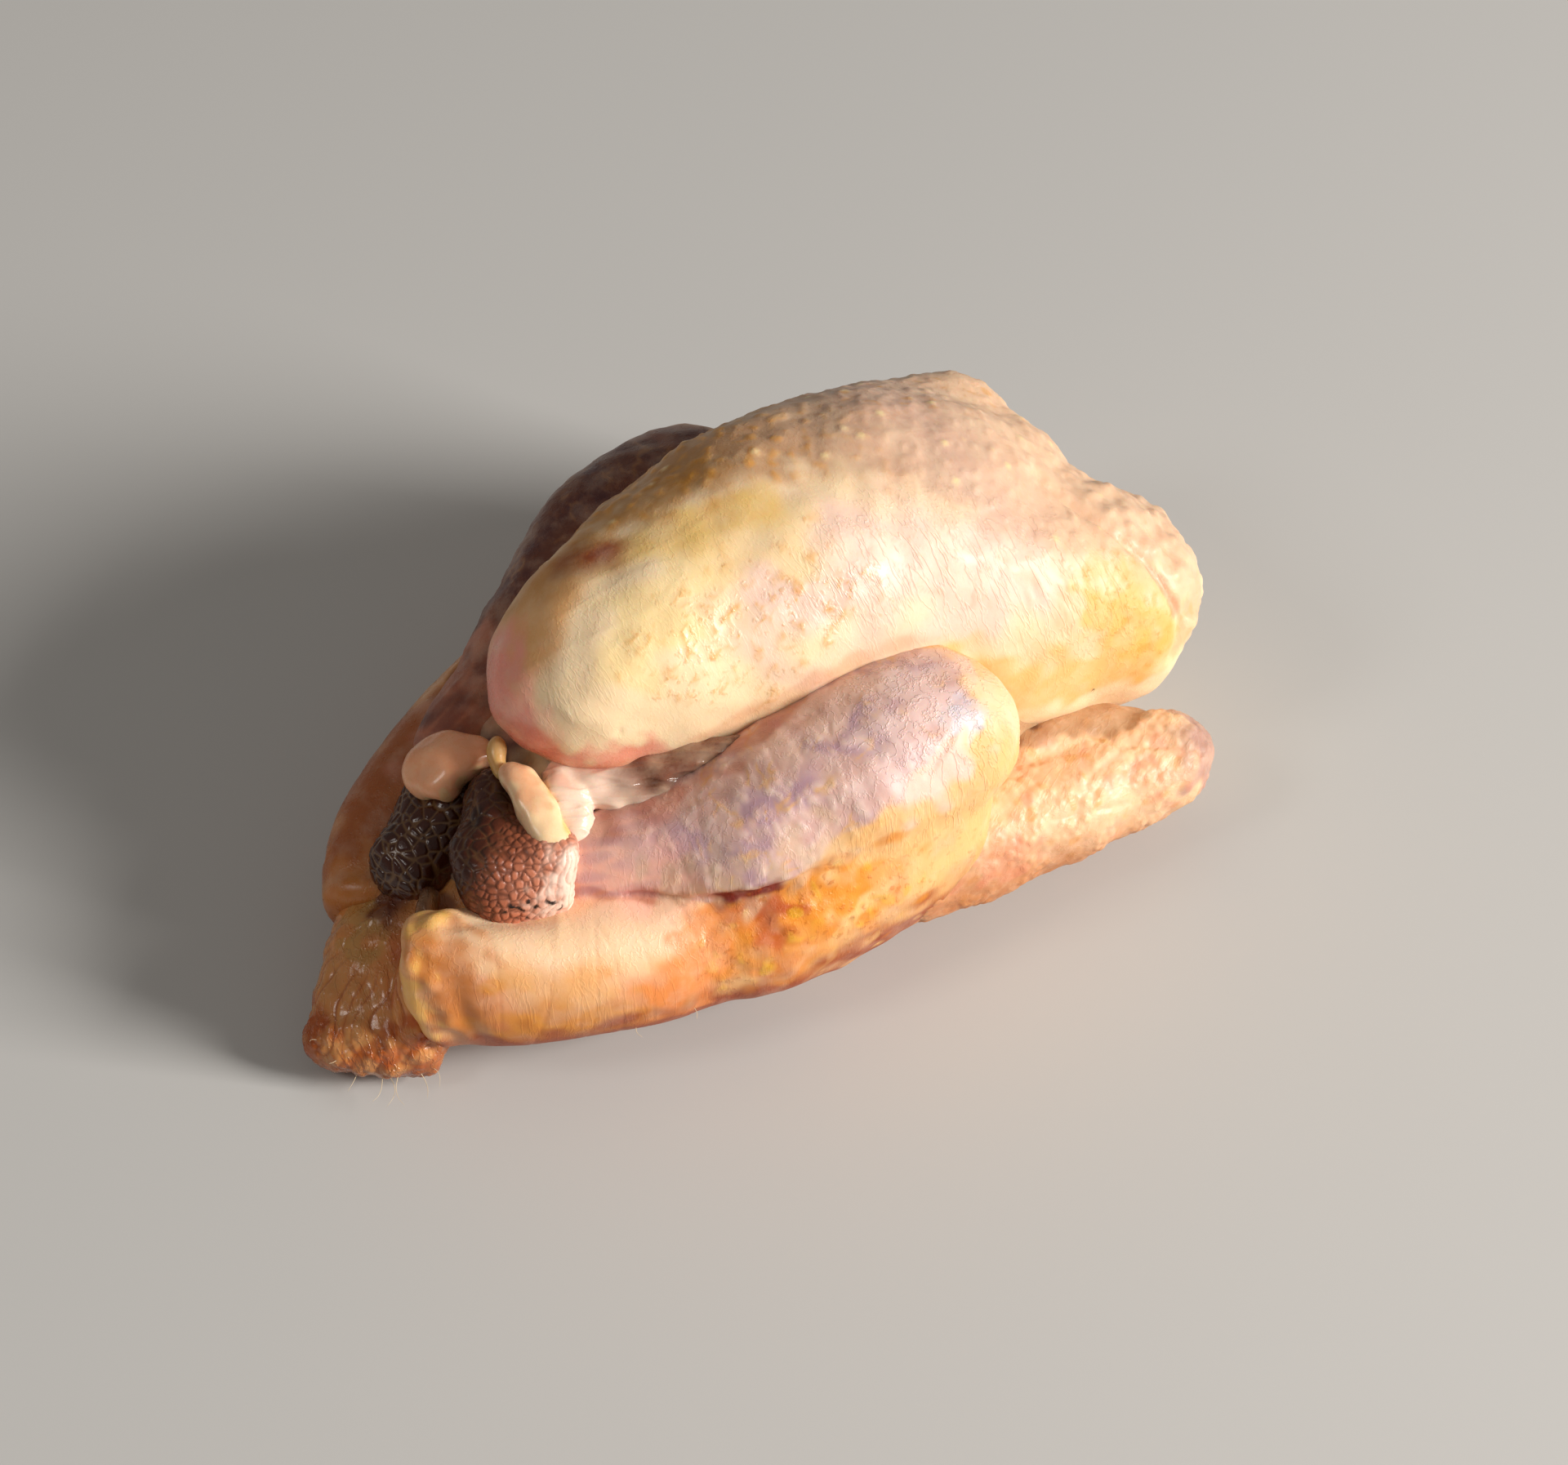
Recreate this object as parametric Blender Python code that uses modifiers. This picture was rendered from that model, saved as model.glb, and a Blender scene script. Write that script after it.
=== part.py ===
"""A whole raw guinea fowl, oven-ready, lying on its back with the legs pushed back and the wings folded.

It is one closed solid. Each main form (torso, breast, thigh, drumstick, wing, flank, tail and so on) is a
loft: oval sections carried along a smooth path. The forms are fused to one skin, smoothed and thinned, and
the back is cut flat where it rests. X runs from the tail to the neck, Y to the bird's far side, Z is up.
"""

import bmesh
import bpy
import numpy as np

MM = 0.001

SHIFT = (0.8, -0.9, 0.0)  # brings the box of the whole bird over the origin, in millimetres

RINGS = 48  # sections along each form
CAP_RINGS = 9  # sections in each rounded end
SIDES = 40  # points round each section
SKIN_VOXEL = 1.7 * MM  # the grid on which the forms are fused
SKIN_RELAX = 4  # rounds of smoothing over the creases between the forms
SKIN_SHARE = 0.12  # the share of the fused skin's faces that is kept

# A form's stations are (x, y, z, half width, height above, height below), in millimetres, along its path.
# Its caps are the shares of its length that are rounded off at the start and the end.
# Its power squares its section: 2 is an ellipse, more is boxier.
FORMS = {
    "torso": {
        "stations": [
            (-84, -2, 22, 26, 14, 21),
            (-60, 0, 27, 35, 26, 27),
            (-30, 0, 31, 42, 34, 31.5),
            (10, 0, 34, 45, 38, 35),
            (50, 0, 35, 44, 38, 36),
            (85, 0, 36, 40, 32, 36),
            (108, -2, 36, 32, 24, 31),
        ],
        "caps": (0.10, 0.08),
        "power": 2.6,
    },
    "breast": {
        "stations": [
            (-60, 0, 79, 16, 12.5, 17.5),
            (-45, 1.5, 78, 22.5, 19, 24.5),
            (-22, 3.5, 75.5, 30, 29.5, 34),
            (5, 6, 70, 39, 40, 45),
            (35, 6.5, 65, 44, 43.5, 48),
            (62, 4, 60, 44, 41, 44),
            (85, 1, 54, 38, 31, 38),
            (102, -3, 46, 30, 22, 30),
        ],
        "caps": (0.12, 0.12),
        "power": 2.1,
    },
    "near_lobe": {
        "stations": [
            (34, -11, 58, 20, 30, 28),
            (60, -16, 57, 28, 35, 33),
            (88, -19, 51, 28, 30, 32),
            (108, -22, 45, 25, 23, 29),
            (123, -25, 40, 20, 17, 23),
        ],
        "caps": (0.2, 0.16),
        "power": 2.1,
    },
    "far_lobe": {
        "stations": [
            (34, 16, 58, 20, 30, 30),
            (60, 22, 59, 27, 34.5, 34),
            (80, 24, 57, 26, 31, 32),
            (96, 24, 52, 23, 24, 27),
            (103, 23, 49, 20, 20, 24),
        ],
        "caps": (0.2, 0.2),
        "power": 2.1,
    },
    "near_drumstick": {
        "stations": [
            (-62, -25.5, 45.5, 10, 10, 10),
            (-45, -31.5, 48.5, 13, 12, 12.5),
            (-22, -40, 52, 20, 16, 16),
            (0, -44, 56, 22, 20, 21),
            (22, -46, 59, 22, 21.5, 22),
            (40, -47, 58, 21, 20.5, 21),
            (52, -47, 57, 17, 18, 18),
        ],
        "caps": (0.04, 0.16),
        "power": 2.0,
    },
    "far_drumstick": {
        "stations": [
            (-60, 24, 47, 10, 10, 10),
            (-45, 29, 51.5, 12, 12, 12),
            (-22, 39, 58, 15.5, 15.5, 15.5),
            (-2, 47, 61, 19, 19, 19),
            (16, 51, 60, 20, 20, 20),
            (32, 52, 55, 20, 20, 20),
            (44, 51, 50, 18, 18, 18),
        ],
        "caps": (0.04, 0.16),
        "power": 2.0,
    },
    "near_thigh": {
        "stations": [
            (-48, -42, 28, 20, 15, 22),
            (-20, -45, 32, 23, 18, 28),
            (10, -44, 35, 25, 26, 32),
            (34, -40, 39, 24, 29, 31),
            (49, -37, 42, 19, 25, 26),
        ],
        "caps": (0.2, 0.25),
        "power": 2.2,
    },
    "far_thigh": {
        "stations": [
            (-40, 38, 28, 16, 16, 22),
            (-18, 42, 31, 21, 22, 27),
            (8, 46, 33, 25, 26, 31),
            (32, 44, 35, 24, 28, 32),
            (47, 41, 38, 20, 24, 28),
        ],
        "caps": (0.2, 0.25),
        "power": 2.2,
    },
    "near_flank": {
        "stations": [
            (-103, -24, 31, 9, 18, 20),
            (-94, -29, 32, 12.5, 19, 20),
            (-76, -37.5, 31, 15, 18.5, 20),
            (-48, -44.5, 29, 17, 17, 20),
            (-20, -46, 28, 18, 18, 22),
        ],
        "caps": (0.05, 0.1),
        "power": 2.2,
    },
    "far_flank": {
        "stations": [
            (-98, 4, 24, 11, 9, 14),
            (-87, 18, 26, 13, 11, 18),
            (-71, 28, 29, 14, 13, 22),
            (-52, 34, 32, 16, 15, 24),
            (-30, 40, 32, 18, 18, 24),
        ],
        "caps": (0.05, 0.1),
        "power": 2.2,
    },
    "tail": {
        "stations": [
            (-70, -2, 22, 22, 16, 16),
            (-90, -6, 19, 20, 14, 14),
            (-103, -14, 15, 18, 11, 12),
            (-113, -22, 10, 17, 8, 9),
            (-117.5, -27, 8, 15, 6, 6),
        ],
        "caps": (0.05, 0.12),
        "power": 2.4,
    },
    "near_forearm": {
        "stations": [
            (12, -52, 22, 13, 13, 14),
            (40, -54, 22, 14, 14, 14),
            (70, -56, 22, 14, 14, 14),
            (92, -57, 22, 13, 12, 13),
            (108, -58, 22, 11, 10, 11),
        ],
        "caps": (0.1, 0.14),
        "power": 2.2,
    },
    "near_upper_wing": {
        "stations": [
            (55, -43, 31, 9, 8, 12),
            (76, -46, 29, 9, 8, 12),
            (90, -49, 26, 9, 6, 12),
            (99, -53, 23, 8, 5, 9),
        ],
        "caps": (0.1, 0.2),
        "power": 2.0,
    },
    "far_forearm": {
        "stations": [
            (12, 52, 22, 13, 13, 14),
            (40, 54, 22, 14, 14, 14),
            (70, 56, 22, 14, 14, 14),
            (92, 57, 22, 13, 12, 13),
            (106, 57, 22, 11, 10, 11),
        ],
        "caps": (0.1, 0.14),
        "power": 2.2,
    },
    "near_stub": {
        "stations": [
            (-84, -18.5, 45.5, 11, 12, 13),
            (-77, -20.5, 47.5, 12.5, 13.5, 16),
            (-67, -25, 47.5, 12.5, 14, 16),
            (-59, -29, 46.5, 11.5, 13, 14),
        ],
        "caps": (0.22, 0.10),
        "power": 2.2,
    },
    "far_stub": {
        "stations": [
            (-58, 23, 46, 11, 11, 11),
            (-68, 13, 43, 10, 9.5, 9.5),
            (-78, 7, 38, 11, 10.5, 10),
            (-92, 1, 31, 9.5, 9, 9),
        ],
        "caps": (0.1, 0.2),
        "power": 2.0,
    },
    "near_pad": {
        "stations": [
            (-66, -5, 62, 4, 5, 5),
            (-63, -13, 61, 6, 6, 6),
            (-61, -20, 58, 6, 6, 6),
            (-60, -27, 54, 4.5, 5, 5),
        ],
        "caps": (0.25, 0.25),
        "power": 2.0,
    },
    "tip_skin": {
        "stations": [
            (-52, -14, 58, 8, 8, 8),
            (-40, -19, 60, 9, 8, 10),
            (-24, -24, 62, 8, 6, 10),
        ],
        "caps": (0.3, 0.3),
        "power": 2.0,
    },
    "far_pad": {
        "stations": [
            (-77, 10, 48, 5, 6, 6),
            (-71, 14, 50, 9, 7, 7),
            (-65, 18, 51, 9, 7, 7),
            (-60, 22, 51, 5, 6, 6),
        ],
        "caps": (0.3, 0.3),
        "power": 2.0,
    },
}


def clear_scene():
    for item in list(bpy.data.objects):
        bpy.data.objects.remove(item)


def track(rows, count):
    """A smooth curve through the rows (Catmull-Rom), read at an even count of steps."""
    rows = np.array(rows, float)
    padded = np.vstack([2 * rows[0] - rows[1], rows, 2 * rows[-1] - rows[-2]])
    place = np.linspace(0, len(rows) - 1, count)
    step = np.minimum(place.astype(int), len(rows) - 2)
    t = (place - step)[:, None]
    a, b, c, d = (padded[step + i] for i in range(4))
    return 0.5 * (2 * b + (c - a) * t + (2 * a - 5 * b + 4 * c - d) * t**2 + (3 * b - a - 3 * c + d) * t**3)


def rounding(share, caps):
    """The share of its size that a section keeps: 1 along the form, falling as a circle to 0 at its ends."""
    start = np.clip(share / caps[0], 0, 1)
    end = np.clip((1 - share) / caps[1], 0, 1)
    return np.sqrt((1 - (1 - start) ** 2) * (1 - (1 - end) ** 2))


def even_steps(caps):
    """Places along the path, evenly spaced in angle over the rounded ends so that they stay round."""
    turn = np.linspace(0, np.pi / 2, CAP_RINGS)
    start = caps[0] * (1 - np.cos(turn))
    end = 1 - caps[1] * (1 - np.cos(turn[::-1]))
    middle = np.linspace(caps[0], 1 - caps[1], RINGS - 2 * CAP_RINGS + 2)[1:-1]
    return np.concatenate([start, middle, end])


def loft_points(stations, caps, power):
    """Rings of points, RINGS by SIDES by 3, in metres."""
    fine = track(stations, 400)
    gone = np.linalg.norm(np.diff(fine[:, :3], axis=0), axis=1)
    along = np.concatenate([[0], np.cumsum(gone)])
    share = even_steps(caps)
    rows = np.stack([np.interp(share * along[-1], along, column) for column in fine.T], axis=1)
    centre = rows[:, :3]
    tangent = np.gradient(centre, axis=0)
    tangent /= np.linalg.norm(tangent, axis=1)[:, None]
    side = np.cross(tangent, (0, 0, 1))
    side /= np.linalg.norm(side, axis=1)[:, None]
    rise = np.cross(side, tangent)
    size = rows[:, 3:] * rounding(share, caps)[:, None]
    turn = np.linspace(0, 2 * np.pi, SIDES, endpoint=False)
    across = np.sign(np.cos(turn)) * np.abs(np.cos(turn)) ** (2 / power)
    height = np.sign(np.sin(turn)) * np.abs(np.sin(turn)) ** (2 / power)
    tall = np.where(height[None, :] > 0, size[:, 1:2], size[:, 2:3]) * height[None, :]
    wide = (size[:, 0:1] * across)[:, :, None] * side[:, None, :]
    high = tall[:, :, None] * rise[:, None, :]
    return (centre[:, None, :] + wide + high + SHIFT) * MM


def loft(mesh, rings):
    """Adds the rings to the bmesh as one closed skin, each end drawn together to a point."""
    first = mesh.verts.new(rings[0].mean(axis=0))
    last = mesh.verts.new(rings[-1].mean(axis=0))
    grid = [[mesh.verts.new(point) for point in ring] for ring in rings[1:-1]]
    made = []
    for low, high in zip(grid, grid[1:]):
        for i in range(SIDES):
            j = (i + 1) % SIDES
            made.append(mesh.faces.new((low[i], low[j], high[j], high[i])))
    for i in range(SIDES):
        j = (i + 1) % SIDES
        made.append(mesh.faces.new((first, grid[0][j], grid[0][i])))
        made.append(mesh.faces.new((last, grid[-1][i], grid[-1][j])))
    bmesh.ops.recalc_face_normals(mesh, faces=made)


def skin_material():
    material = bpy.data.materials.new("raw_skin")
    material.use_nodes = True
    shader = material.node_tree.nodes["Principled BSDF"]
    shader.inputs["Base Color"].default_value = (0.80, 0.60, 0.38, 1)
    shader.inputs["Roughness"].default_value = 0.4
    return material


def all_forms(collection):
    """Every form as a closed skin of its own, all in one mesh."""
    mesh = bmesh.new()
    for form in FORMS.values():
        loft(mesh, loft_points(form["stations"], form["caps"], form["power"]))
    data = bpy.data.meshes.new("guinea_fowl")
    mesh.to_mesh(data)
    mesh.free()
    bird = bpy.data.objects.new("guinea_fowl", data)
    collection.objects.link(bird)
    data.materials.append(skin_material())
    return bird


def table_cutter(collection):
    """The block under the table line, which takes off what the back would press flat."""
    mesh = bmesh.new()
    bmesh.ops.create_cube(mesh, size=1.0)
    bmesh.ops.scale(mesh, vec=(0.4, 0.3, 0.04), verts=mesh.verts)
    bmesh.ops.translate(mesh, vec=(0, 0, -0.02), verts=mesh.verts)
    data = bpy.data.meshes.new("table_cutter")
    mesh.to_mesh(data)
    mesh.free()
    block = bpy.data.objects.new("table_cutter", data)
    block.display_type = "WIRE"
    block.hide_render = True
    collection.objects.link(block)
    return block


def fuse_and_cut(bird, block):
    """Fused by a voxel grid to one skin, relaxed, thinned, then cut flat where it rests."""
    fuse = bird.modifiers.new("fuse", "REMESH")
    fuse.mode = "VOXEL"
    fuse.voxel_size = SKIN_VOXEL
    relax = bird.modifiers.new("relax", "SMOOTH")
    relax.factor = 0.5
    relax.iterations = SKIN_RELAX
    thin = bird.modifiers.new("thin", "DECIMATE")
    thin.ratio = SKIN_SHARE
    rest = bird.modifiers.new("rest", "BOOLEAN")
    rest.operation = "DIFFERENCE"
    rest.solver = "EXACT"
    rest.object = block


def main():
    clear_scene()
    collection = bpy.data.collections.new("guinea_fowl")
    bpy.context.scene.collection.children.link(collection)
    bird = all_forms(collection)
    block = table_cutter(collection)
    fuse_and_cut(bird, block)


main()
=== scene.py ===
import bpy
import numpy as np
from mathutils import Matrix


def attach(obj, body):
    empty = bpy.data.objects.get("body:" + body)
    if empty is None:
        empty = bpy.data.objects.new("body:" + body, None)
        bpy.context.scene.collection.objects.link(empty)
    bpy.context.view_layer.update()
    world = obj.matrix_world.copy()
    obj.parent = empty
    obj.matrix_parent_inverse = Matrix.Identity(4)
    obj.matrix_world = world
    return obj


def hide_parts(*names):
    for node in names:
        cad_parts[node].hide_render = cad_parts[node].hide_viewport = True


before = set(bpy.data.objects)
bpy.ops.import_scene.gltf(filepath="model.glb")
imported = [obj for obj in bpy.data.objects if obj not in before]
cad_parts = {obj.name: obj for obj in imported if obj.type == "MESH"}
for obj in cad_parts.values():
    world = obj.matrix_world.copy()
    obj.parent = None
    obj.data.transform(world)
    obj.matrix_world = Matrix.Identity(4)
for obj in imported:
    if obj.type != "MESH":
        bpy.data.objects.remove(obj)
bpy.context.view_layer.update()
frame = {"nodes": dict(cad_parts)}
print("frame loaded:", ", ".join(frame["nodes"]))

mm = 0.001
shift = np.array([0.8, -0.9, 0.0])  # millimetres, as in the solid, so that the box stands over the origin
lowest = 0.15  # millimetres above the floor where the skin stops
rings, sides, traces, batch = 110, 96, 260, 20000  # of a loft, and of the search along a form's path
mixFactors = np.array([73856093, 19349663, 83492791])  # the whole numbers that scatter the cell points
mixTurns, mixSeed, mixMask = (1103515245, 69069, 1664525), 2654435761, 0x7FFFFFFF


def tint(red, green, blue):  # a screen colour from 0 to 255 made linear
    c = np.array([red, green, blue]) / 255
    return np.where(c < 0.04045, c / 12.92, ((c + 0.055) / 1.055) ** 2.4)


def oval(startCap, endCap, power, stations):
    # a form of oval sections: the shares of its length that round its ends off, the ovals' power, and its stations,
    # each the centre's place, the half width, and the reach above and below, in millimetres
    return dict(caps=(startCap, endCap), power=power, stations=stations)


def curveThrough(rows, count):
    # Catmull-Rom: half of 2b + (c-a)t + (2a-5b+4c-d)t2 + (3b-a-3c+d)t3 between the rows b and c
    rows = np.array(rows, float)
    padded = np.vstack([2 * rows[0] - rows[1], rows, 2 * rows[-1] - rows[-2]])
    place = np.linspace(0, len(rows) - 1, count)
    step = np.minimum(place.astype(int), len(rows) - 2)
    t = (place - step)[:, None]
    a, b, c, d = (padded[step + i] for i in range(4))
    return 0.5 * (2 * b + (c - a) * t + (2 * a - 5 * b + 4 * c - d) * t**2 + (3 * b - a - 3 * c + d) * t**3)


def roundedShare(share, caps):
    # the size kept at a share of the length: a quarter circle over each cap, 1 between them
    start = np.clip(share / caps[0], 0, 1)
    end = np.clip((1 - share) / caps[1], 0, 1)
    return np.sqrt((1 - (1 - start) ** 2) * (1 - (1 - end) ** 2))


def endShares(caps, count):
    # shares of a length that crowd together over the rounded ends, as 1 - cos
    turn = np.linspace(0, np.pi / 2, count // 5)
    middle = np.linspace(caps[0], 1 - caps[1], count - 2 * len(turn) + 2)[1:-1]
    return np.concatenate([caps[0] * (1 - np.cos(turn)), middle, 1 - caps[1] * (1 - np.cos(turn[::-1]))])


def spine(form, share):
    # centre, tangent, side, rise, sizes and length at the given shares of a form's path
    fine = curveThrough(form["stations"], 400)
    along = np.concatenate([[0], np.cumsum(np.linalg.norm(np.diff(fine[:, :3], axis=0), axis=1))])
    rows = np.stack([np.interp(share * along[-1], along, column) for column in fine.T], axis=1)
    centre = rows[:, :3]
    tangent = np.gradient(centre, axis=0)
    tangent /= np.linalg.norm(tangent, axis=1)[:, None]
    side = np.cross(tangent, (0, 0, 1))
    side /= np.linalg.norm(side, axis=1)[:, None]
    size = rows[:, 3:] * roundedShare(share, form["caps"])[:, None]
    return centre + shift, tangent, side, np.cross(side, tangent), size, share * along[-1]


def ovalLoft(form):
    # point(s, a) = centre(s) + side(s) width(s) sgn(cos a)|cos a|^(2/p) + rise(s) height(s) sgn(sin a)|sin a|^(2/p)
    centre, _, side, rise, size, _ = spine(form, endShares(form["caps"], rings))
    turn = np.linspace(0, 2 * np.pi, sides, endpoint=False)
    across = np.sign(np.cos(turn)) * np.abs(np.cos(turn)) ** (2 / form["power"])
    height = np.sign(np.sin(turn)) * np.abs(np.sin(turn)) ** (2 / form["power"])
    tall = np.where(height > 0, size[:, 1:2], size[:, 2:3]) * height
    return centre[:, None] + (size[:, :1] * across)[..., None] * side[:, None] + tall[..., None] * rise[:, None]


def closedGrids(grids):
    # grids of rings as closed skins: quads between the rings, and a fan from each end's middle point
    points, faces = np.empty((0, 3)), []
    for grid in grids:
        count, around = grid.shape[:2]
        skin = np.vstack([grid[1:-1].reshape(-1, 3), grid[0].mean(axis=0), grid[-1].mean(axis=0)])
        low = np.arange((count - 3) * around).reshape(count - 3, around)
        quads = np.stack([low, low + around, np.roll(low, -1, 1) + around, np.roll(low, -1, 1)], -1).reshape(-1, 4)
        first, last = np.arange(around), np.arange(around) + (count - 3) * around
        tip, end = np.full(around, len(skin) - 2), np.full(around, len(skin) - 1)
        fans = np.vstack([np.stack([tip, first, np.roll(first, -1)], axis=1),
                          np.stack([end, np.roll(last, -1), last], axis=1)])
        faces += (quads + len(points)).tolist() + (fans + len(points)).tolist()
        points = np.vstack([points, skin])
    return points, faces


def ripple(points, wave, seed, count=26):
    # a smooth random field of unit spread: the sum of sine waves in random directions, near one wave length
    draw = np.random.default_rng(seed)
    way = draw.normal(size=(count, 3))
    way /= np.linalg.norm(way, axis=1)[:, None]
    way *= 2 * np.pi / (wave * draw.uniform(0.75, 1.35, count))[:, None]
    total = np.zeros(len(points))
    for w, phase in zip(way, draw.uniform(0, 2 * np.pi, count)):
        total += np.sin(points @ w + phase)
    return total * np.sqrt(2 / count)


def swell(points, waves):
    # soft unevenness: the sum of ripples, each with its wave length, seed and height
    return sum(ripple(points, wave, seed) * height for wave, seed, height in waves)


def mottle(points, wave, seed, low, high):
    # a ripple's smooth patches: 0 where it is under low, 1 where it is over high
    return ramp(ripple(points, wave, seed), low, high)


def cellNoise(points, size, seed, jitter=1.0):
    # distances to the nearest and next nearest of points scattered one to a cell, in cells, and the nearest's number
    p = points / size
    base = np.floor(p).astype(np.int64)
    first, after, number = np.full(len(p), 9.0), np.full(len(p), 9.0), np.zeros(len(p))
    for step in np.ndindex(3, 3, 3):
        cell = base + np.array(step) - 1
        mix = (cell * mixFactors + seed * mixSeed).sum(axis=1) & mixMask
        place = []
        for turn in mixTurns:
            mix = (mix * turn + 12345 + (mix >> 7)) & mixMask
            place.append(0.5 + jitter * (mix / mixMask - 0.5))
        gap = np.linalg.norm(p - cell - np.stack(place, axis=1), axis=1)
        number = np.where(gap < first, mix / mixMask, number)
        after = np.minimum(after, np.maximum(first, gap))
        first = np.minimum(first, gap)
    return first, after, number


def ramp(value, low, high):
    # a smooth step from 0 at low to 1 at high
    t = np.clip((value - low) / (high - low), 0, 1)
    return t * t * (3 - 2 * t)


def toLine(points, line, side=1):
    # distance from each point to a broken line, and the share of the line's length where it is nearest; the line is
    # mirrored across the body where side is -1
    line = np.array(line, float) * (1, side, 1)
    best, where = np.full(len(points), 1e9), np.zeros(len(points))
    reach = np.concatenate([[0], np.cumsum(np.linalg.norm(np.diff(line, axis=0), axis=1))])
    for a, b, s in zip(line, line[1:], reach):
        span = b - a
        t = np.clip((points - a) @ span / (span @ span), 0, 1)
        gap = np.linalg.norm(points - a - t[:, None] * span, axis=1)
        where = np.where(gap < best, (s + t * np.linalg.norm(span)) / reach[-1], where)
        best = np.minimum(best, gap)
    return best, where


def follow(form, points):
    # where each point lies along and around a form, and how far outside its oval it is, in millimetres
    centre, tangent, side, rise, size, along = spine(form, np.linspace(0, 1, traces))
    step = np.concatenate([((points[i:i + batch, None] - centre[None]) ** 2).sum(axis=2).argmin(axis=1)
                           for i in range(0, len(points), batch)])
    off = points - centre[step]
    x, y, z = ((off * way[step]).sum(axis=1) for way in (side, rise, tangent))
    width = np.maximum(size[step, 0], 0.5)
    height = np.maximum(np.where(y > 0, size[step, 1], size[step, 2]), 0.5)
    outer = ((np.abs(x) / width) ** form["power"] + (np.abs(y) / height) ** form["power"]) ** (1 / form["power"])
    outside = np.sqrt(x * x + y * y) * (1 - 1 / np.maximum(outer, 1e-3)) + np.maximum(np.abs(z) - 1.0, 0)
    return along[step] + z, np.arctan2(y, x), outside


def relax(points, edges, rounds, share):
    # each round moves every point towards the mean of its neighbours by a share, which may differ from point to point
    count = np.maximum(np.bincount(edges.ravel(), minlength=len(points)), 1)[:, None]
    share = np.broadcast_to(np.asarray(share, float).reshape(-1, 1), (len(points), 1))
    for _ in range(rounds):
        total = np.stack([np.bincount(edges[:, 0], points[edges[:, 1], k], len(points))
                          + np.bincount(edges[:, 1], points[edges[:, 0], k], len(points)) for k in range(3)], axis=1)
        points = points + share * (total / count - points)
    return points


def outward(points, quads):
    # each point's normal: the sum of the cross products of the diagonals of its faces
    a, b, c, d = (points[quads[:, i]] for i in range(4))
    face = np.cross(c - a, d - b)
    normal = np.stack([sum(np.bincount(quads[:, i], face[:, k], len(points)) for i in range(4))
                       for k in range(3)], axis=1)
    return normal / np.maximum(np.linalg.norm(normal, axis=1)[:, None], 1e-12)


def readMesh(mesh):
    # points in millimetres, edges, and faces as rows of four, a triangle's last corner twice
    points = np.empty(len(mesh.vertices) * 3)
    mesh.vertices.foreach_get("co", points)
    edges = np.empty(len(mesh.edges) * 2, dtype=np.int64)
    mesh.edges.foreach_get("vertices", edges)
    corners = np.empty(len(mesh.loops), dtype=np.int64)
    mesh.loops.foreach_get("vertex_index", corners)
    start = np.empty(len(mesh.polygons), dtype=np.int64)
    mesh.polygons.foreach_get("loop_start", start)
    total = np.empty(len(mesh.polygons), dtype=np.int64)
    mesh.polygons.foreach_get("loop_total", total)
    quads = corners[start[:, None] + np.minimum(np.arange(4), total[:, None] - 1)]
    return points.reshape(-1, 3) / mm, edges.reshape(-1, 2), quads


def meshObject(name, points, faces):
    # points in millimetres and faces by their numbers, as an object at the origin
    mesh = bpy.data.meshes.new(name)
    mesh.from_pydata((points * mm).tolist(), [], faces)
    made = bpy.data.objects.new(name, mesh)
    bpy.context.scene.collection.objects.link(made)
    return made


def fusedSkin(name, forms, cell):
    # every form's oval loft in one mesh, fused by a voxel grid of the given cell, in millimetres
    piece = meshObject(name, *closedGrids(ovalLoft(form) for form in forms.values()))
    lofts = piece.data
    fuse = piece.modifiers.new("fuse", "REMESH")
    fuse.mode = "VOXEL"
    fuse.voxel_size = cell * mm
    shape = bpy.data.meshes.new_from_object(piece.evaluated_get(bpy.context.evaluated_depsgraph_get()))
    piece.modifiers.clear()
    piece.data = shape
    bpy.data.meshes.remove(lofts)
    shape.name = name
    return piece, *readMesh(shape)


def finishSkin(piece, points, tone, look, fleck=0.0, creased=0.0, wet=0.0):
    # the finished points, the colour "tone" and the amounts "detail", then the material and the frame's marks
    mesh = piece.data
    mesh.vertices.foreach_set("co", (points * mm).ravel())
    detail = np.zeros((len(points), 3))
    detail[:, 0], detail[:, 1], detail[:, 2] = fleck, creased, wet
    for name, values in (("tone", tone), ("detail", detail)):
        layer = mesh.color_attributes.new(name=name, type="FLOAT_COLOR", domain="POINT")
        four = np.ones((len(points), 4))
        four[:, :3] = np.clip(values, 0, 1)
        layer.data.foreach_set("color", four.ravel())
    mesh.shade_smooth()
    mesh.update()
    mesh.materials.clear()
    mesh.materials.append(skinMaterial(piece.name.replace("_", " "), look))
    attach(piece, "root")
    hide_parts("guinea_fowl")
    print(piece.name, "has", len(points), "points and", 2 * len(mesh.polygons), "triangles")


def layered(tone, *layers):
    # colours laid over the tone in turn, each by its share at every point
    for colour, share in layers:
        tone = tone + (np.asarray(colour) - tone) * np.clip(share, 0, 1)[:, None]
    return tone


def evenTone(points, colour):
    # one colour at every point
    return np.tile(colour, (len(points), 1))


def near(points, line, reach, soft=0.7, ragged=0.0, wave=9.0, seed=1, side=1):
    # 1 round a broken line, falling smoothly to 0 at its reach over the soft share of it, its edge moved by a ripple
    gap, _ = toLine(points, line, side)
    if ragged:
        gap = gap + ragged * ripple(points, wave, seed)
    return ramp(-gap, -reach, -reach * (1 - soft))


def paint(points, tone, patches, side=1):
    # lays each patch of screen colour over the tone, in turn; the length of its name seeds its ragged edge
    for name, (colour, share, reach, ragged, wave, line) in patches.items():
        spot = near(points, line, reach, 0.7, ragged, wave, len(name), side)
        tone = layered(tone, (tint(*colour), share * spot))
    return tone


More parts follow.
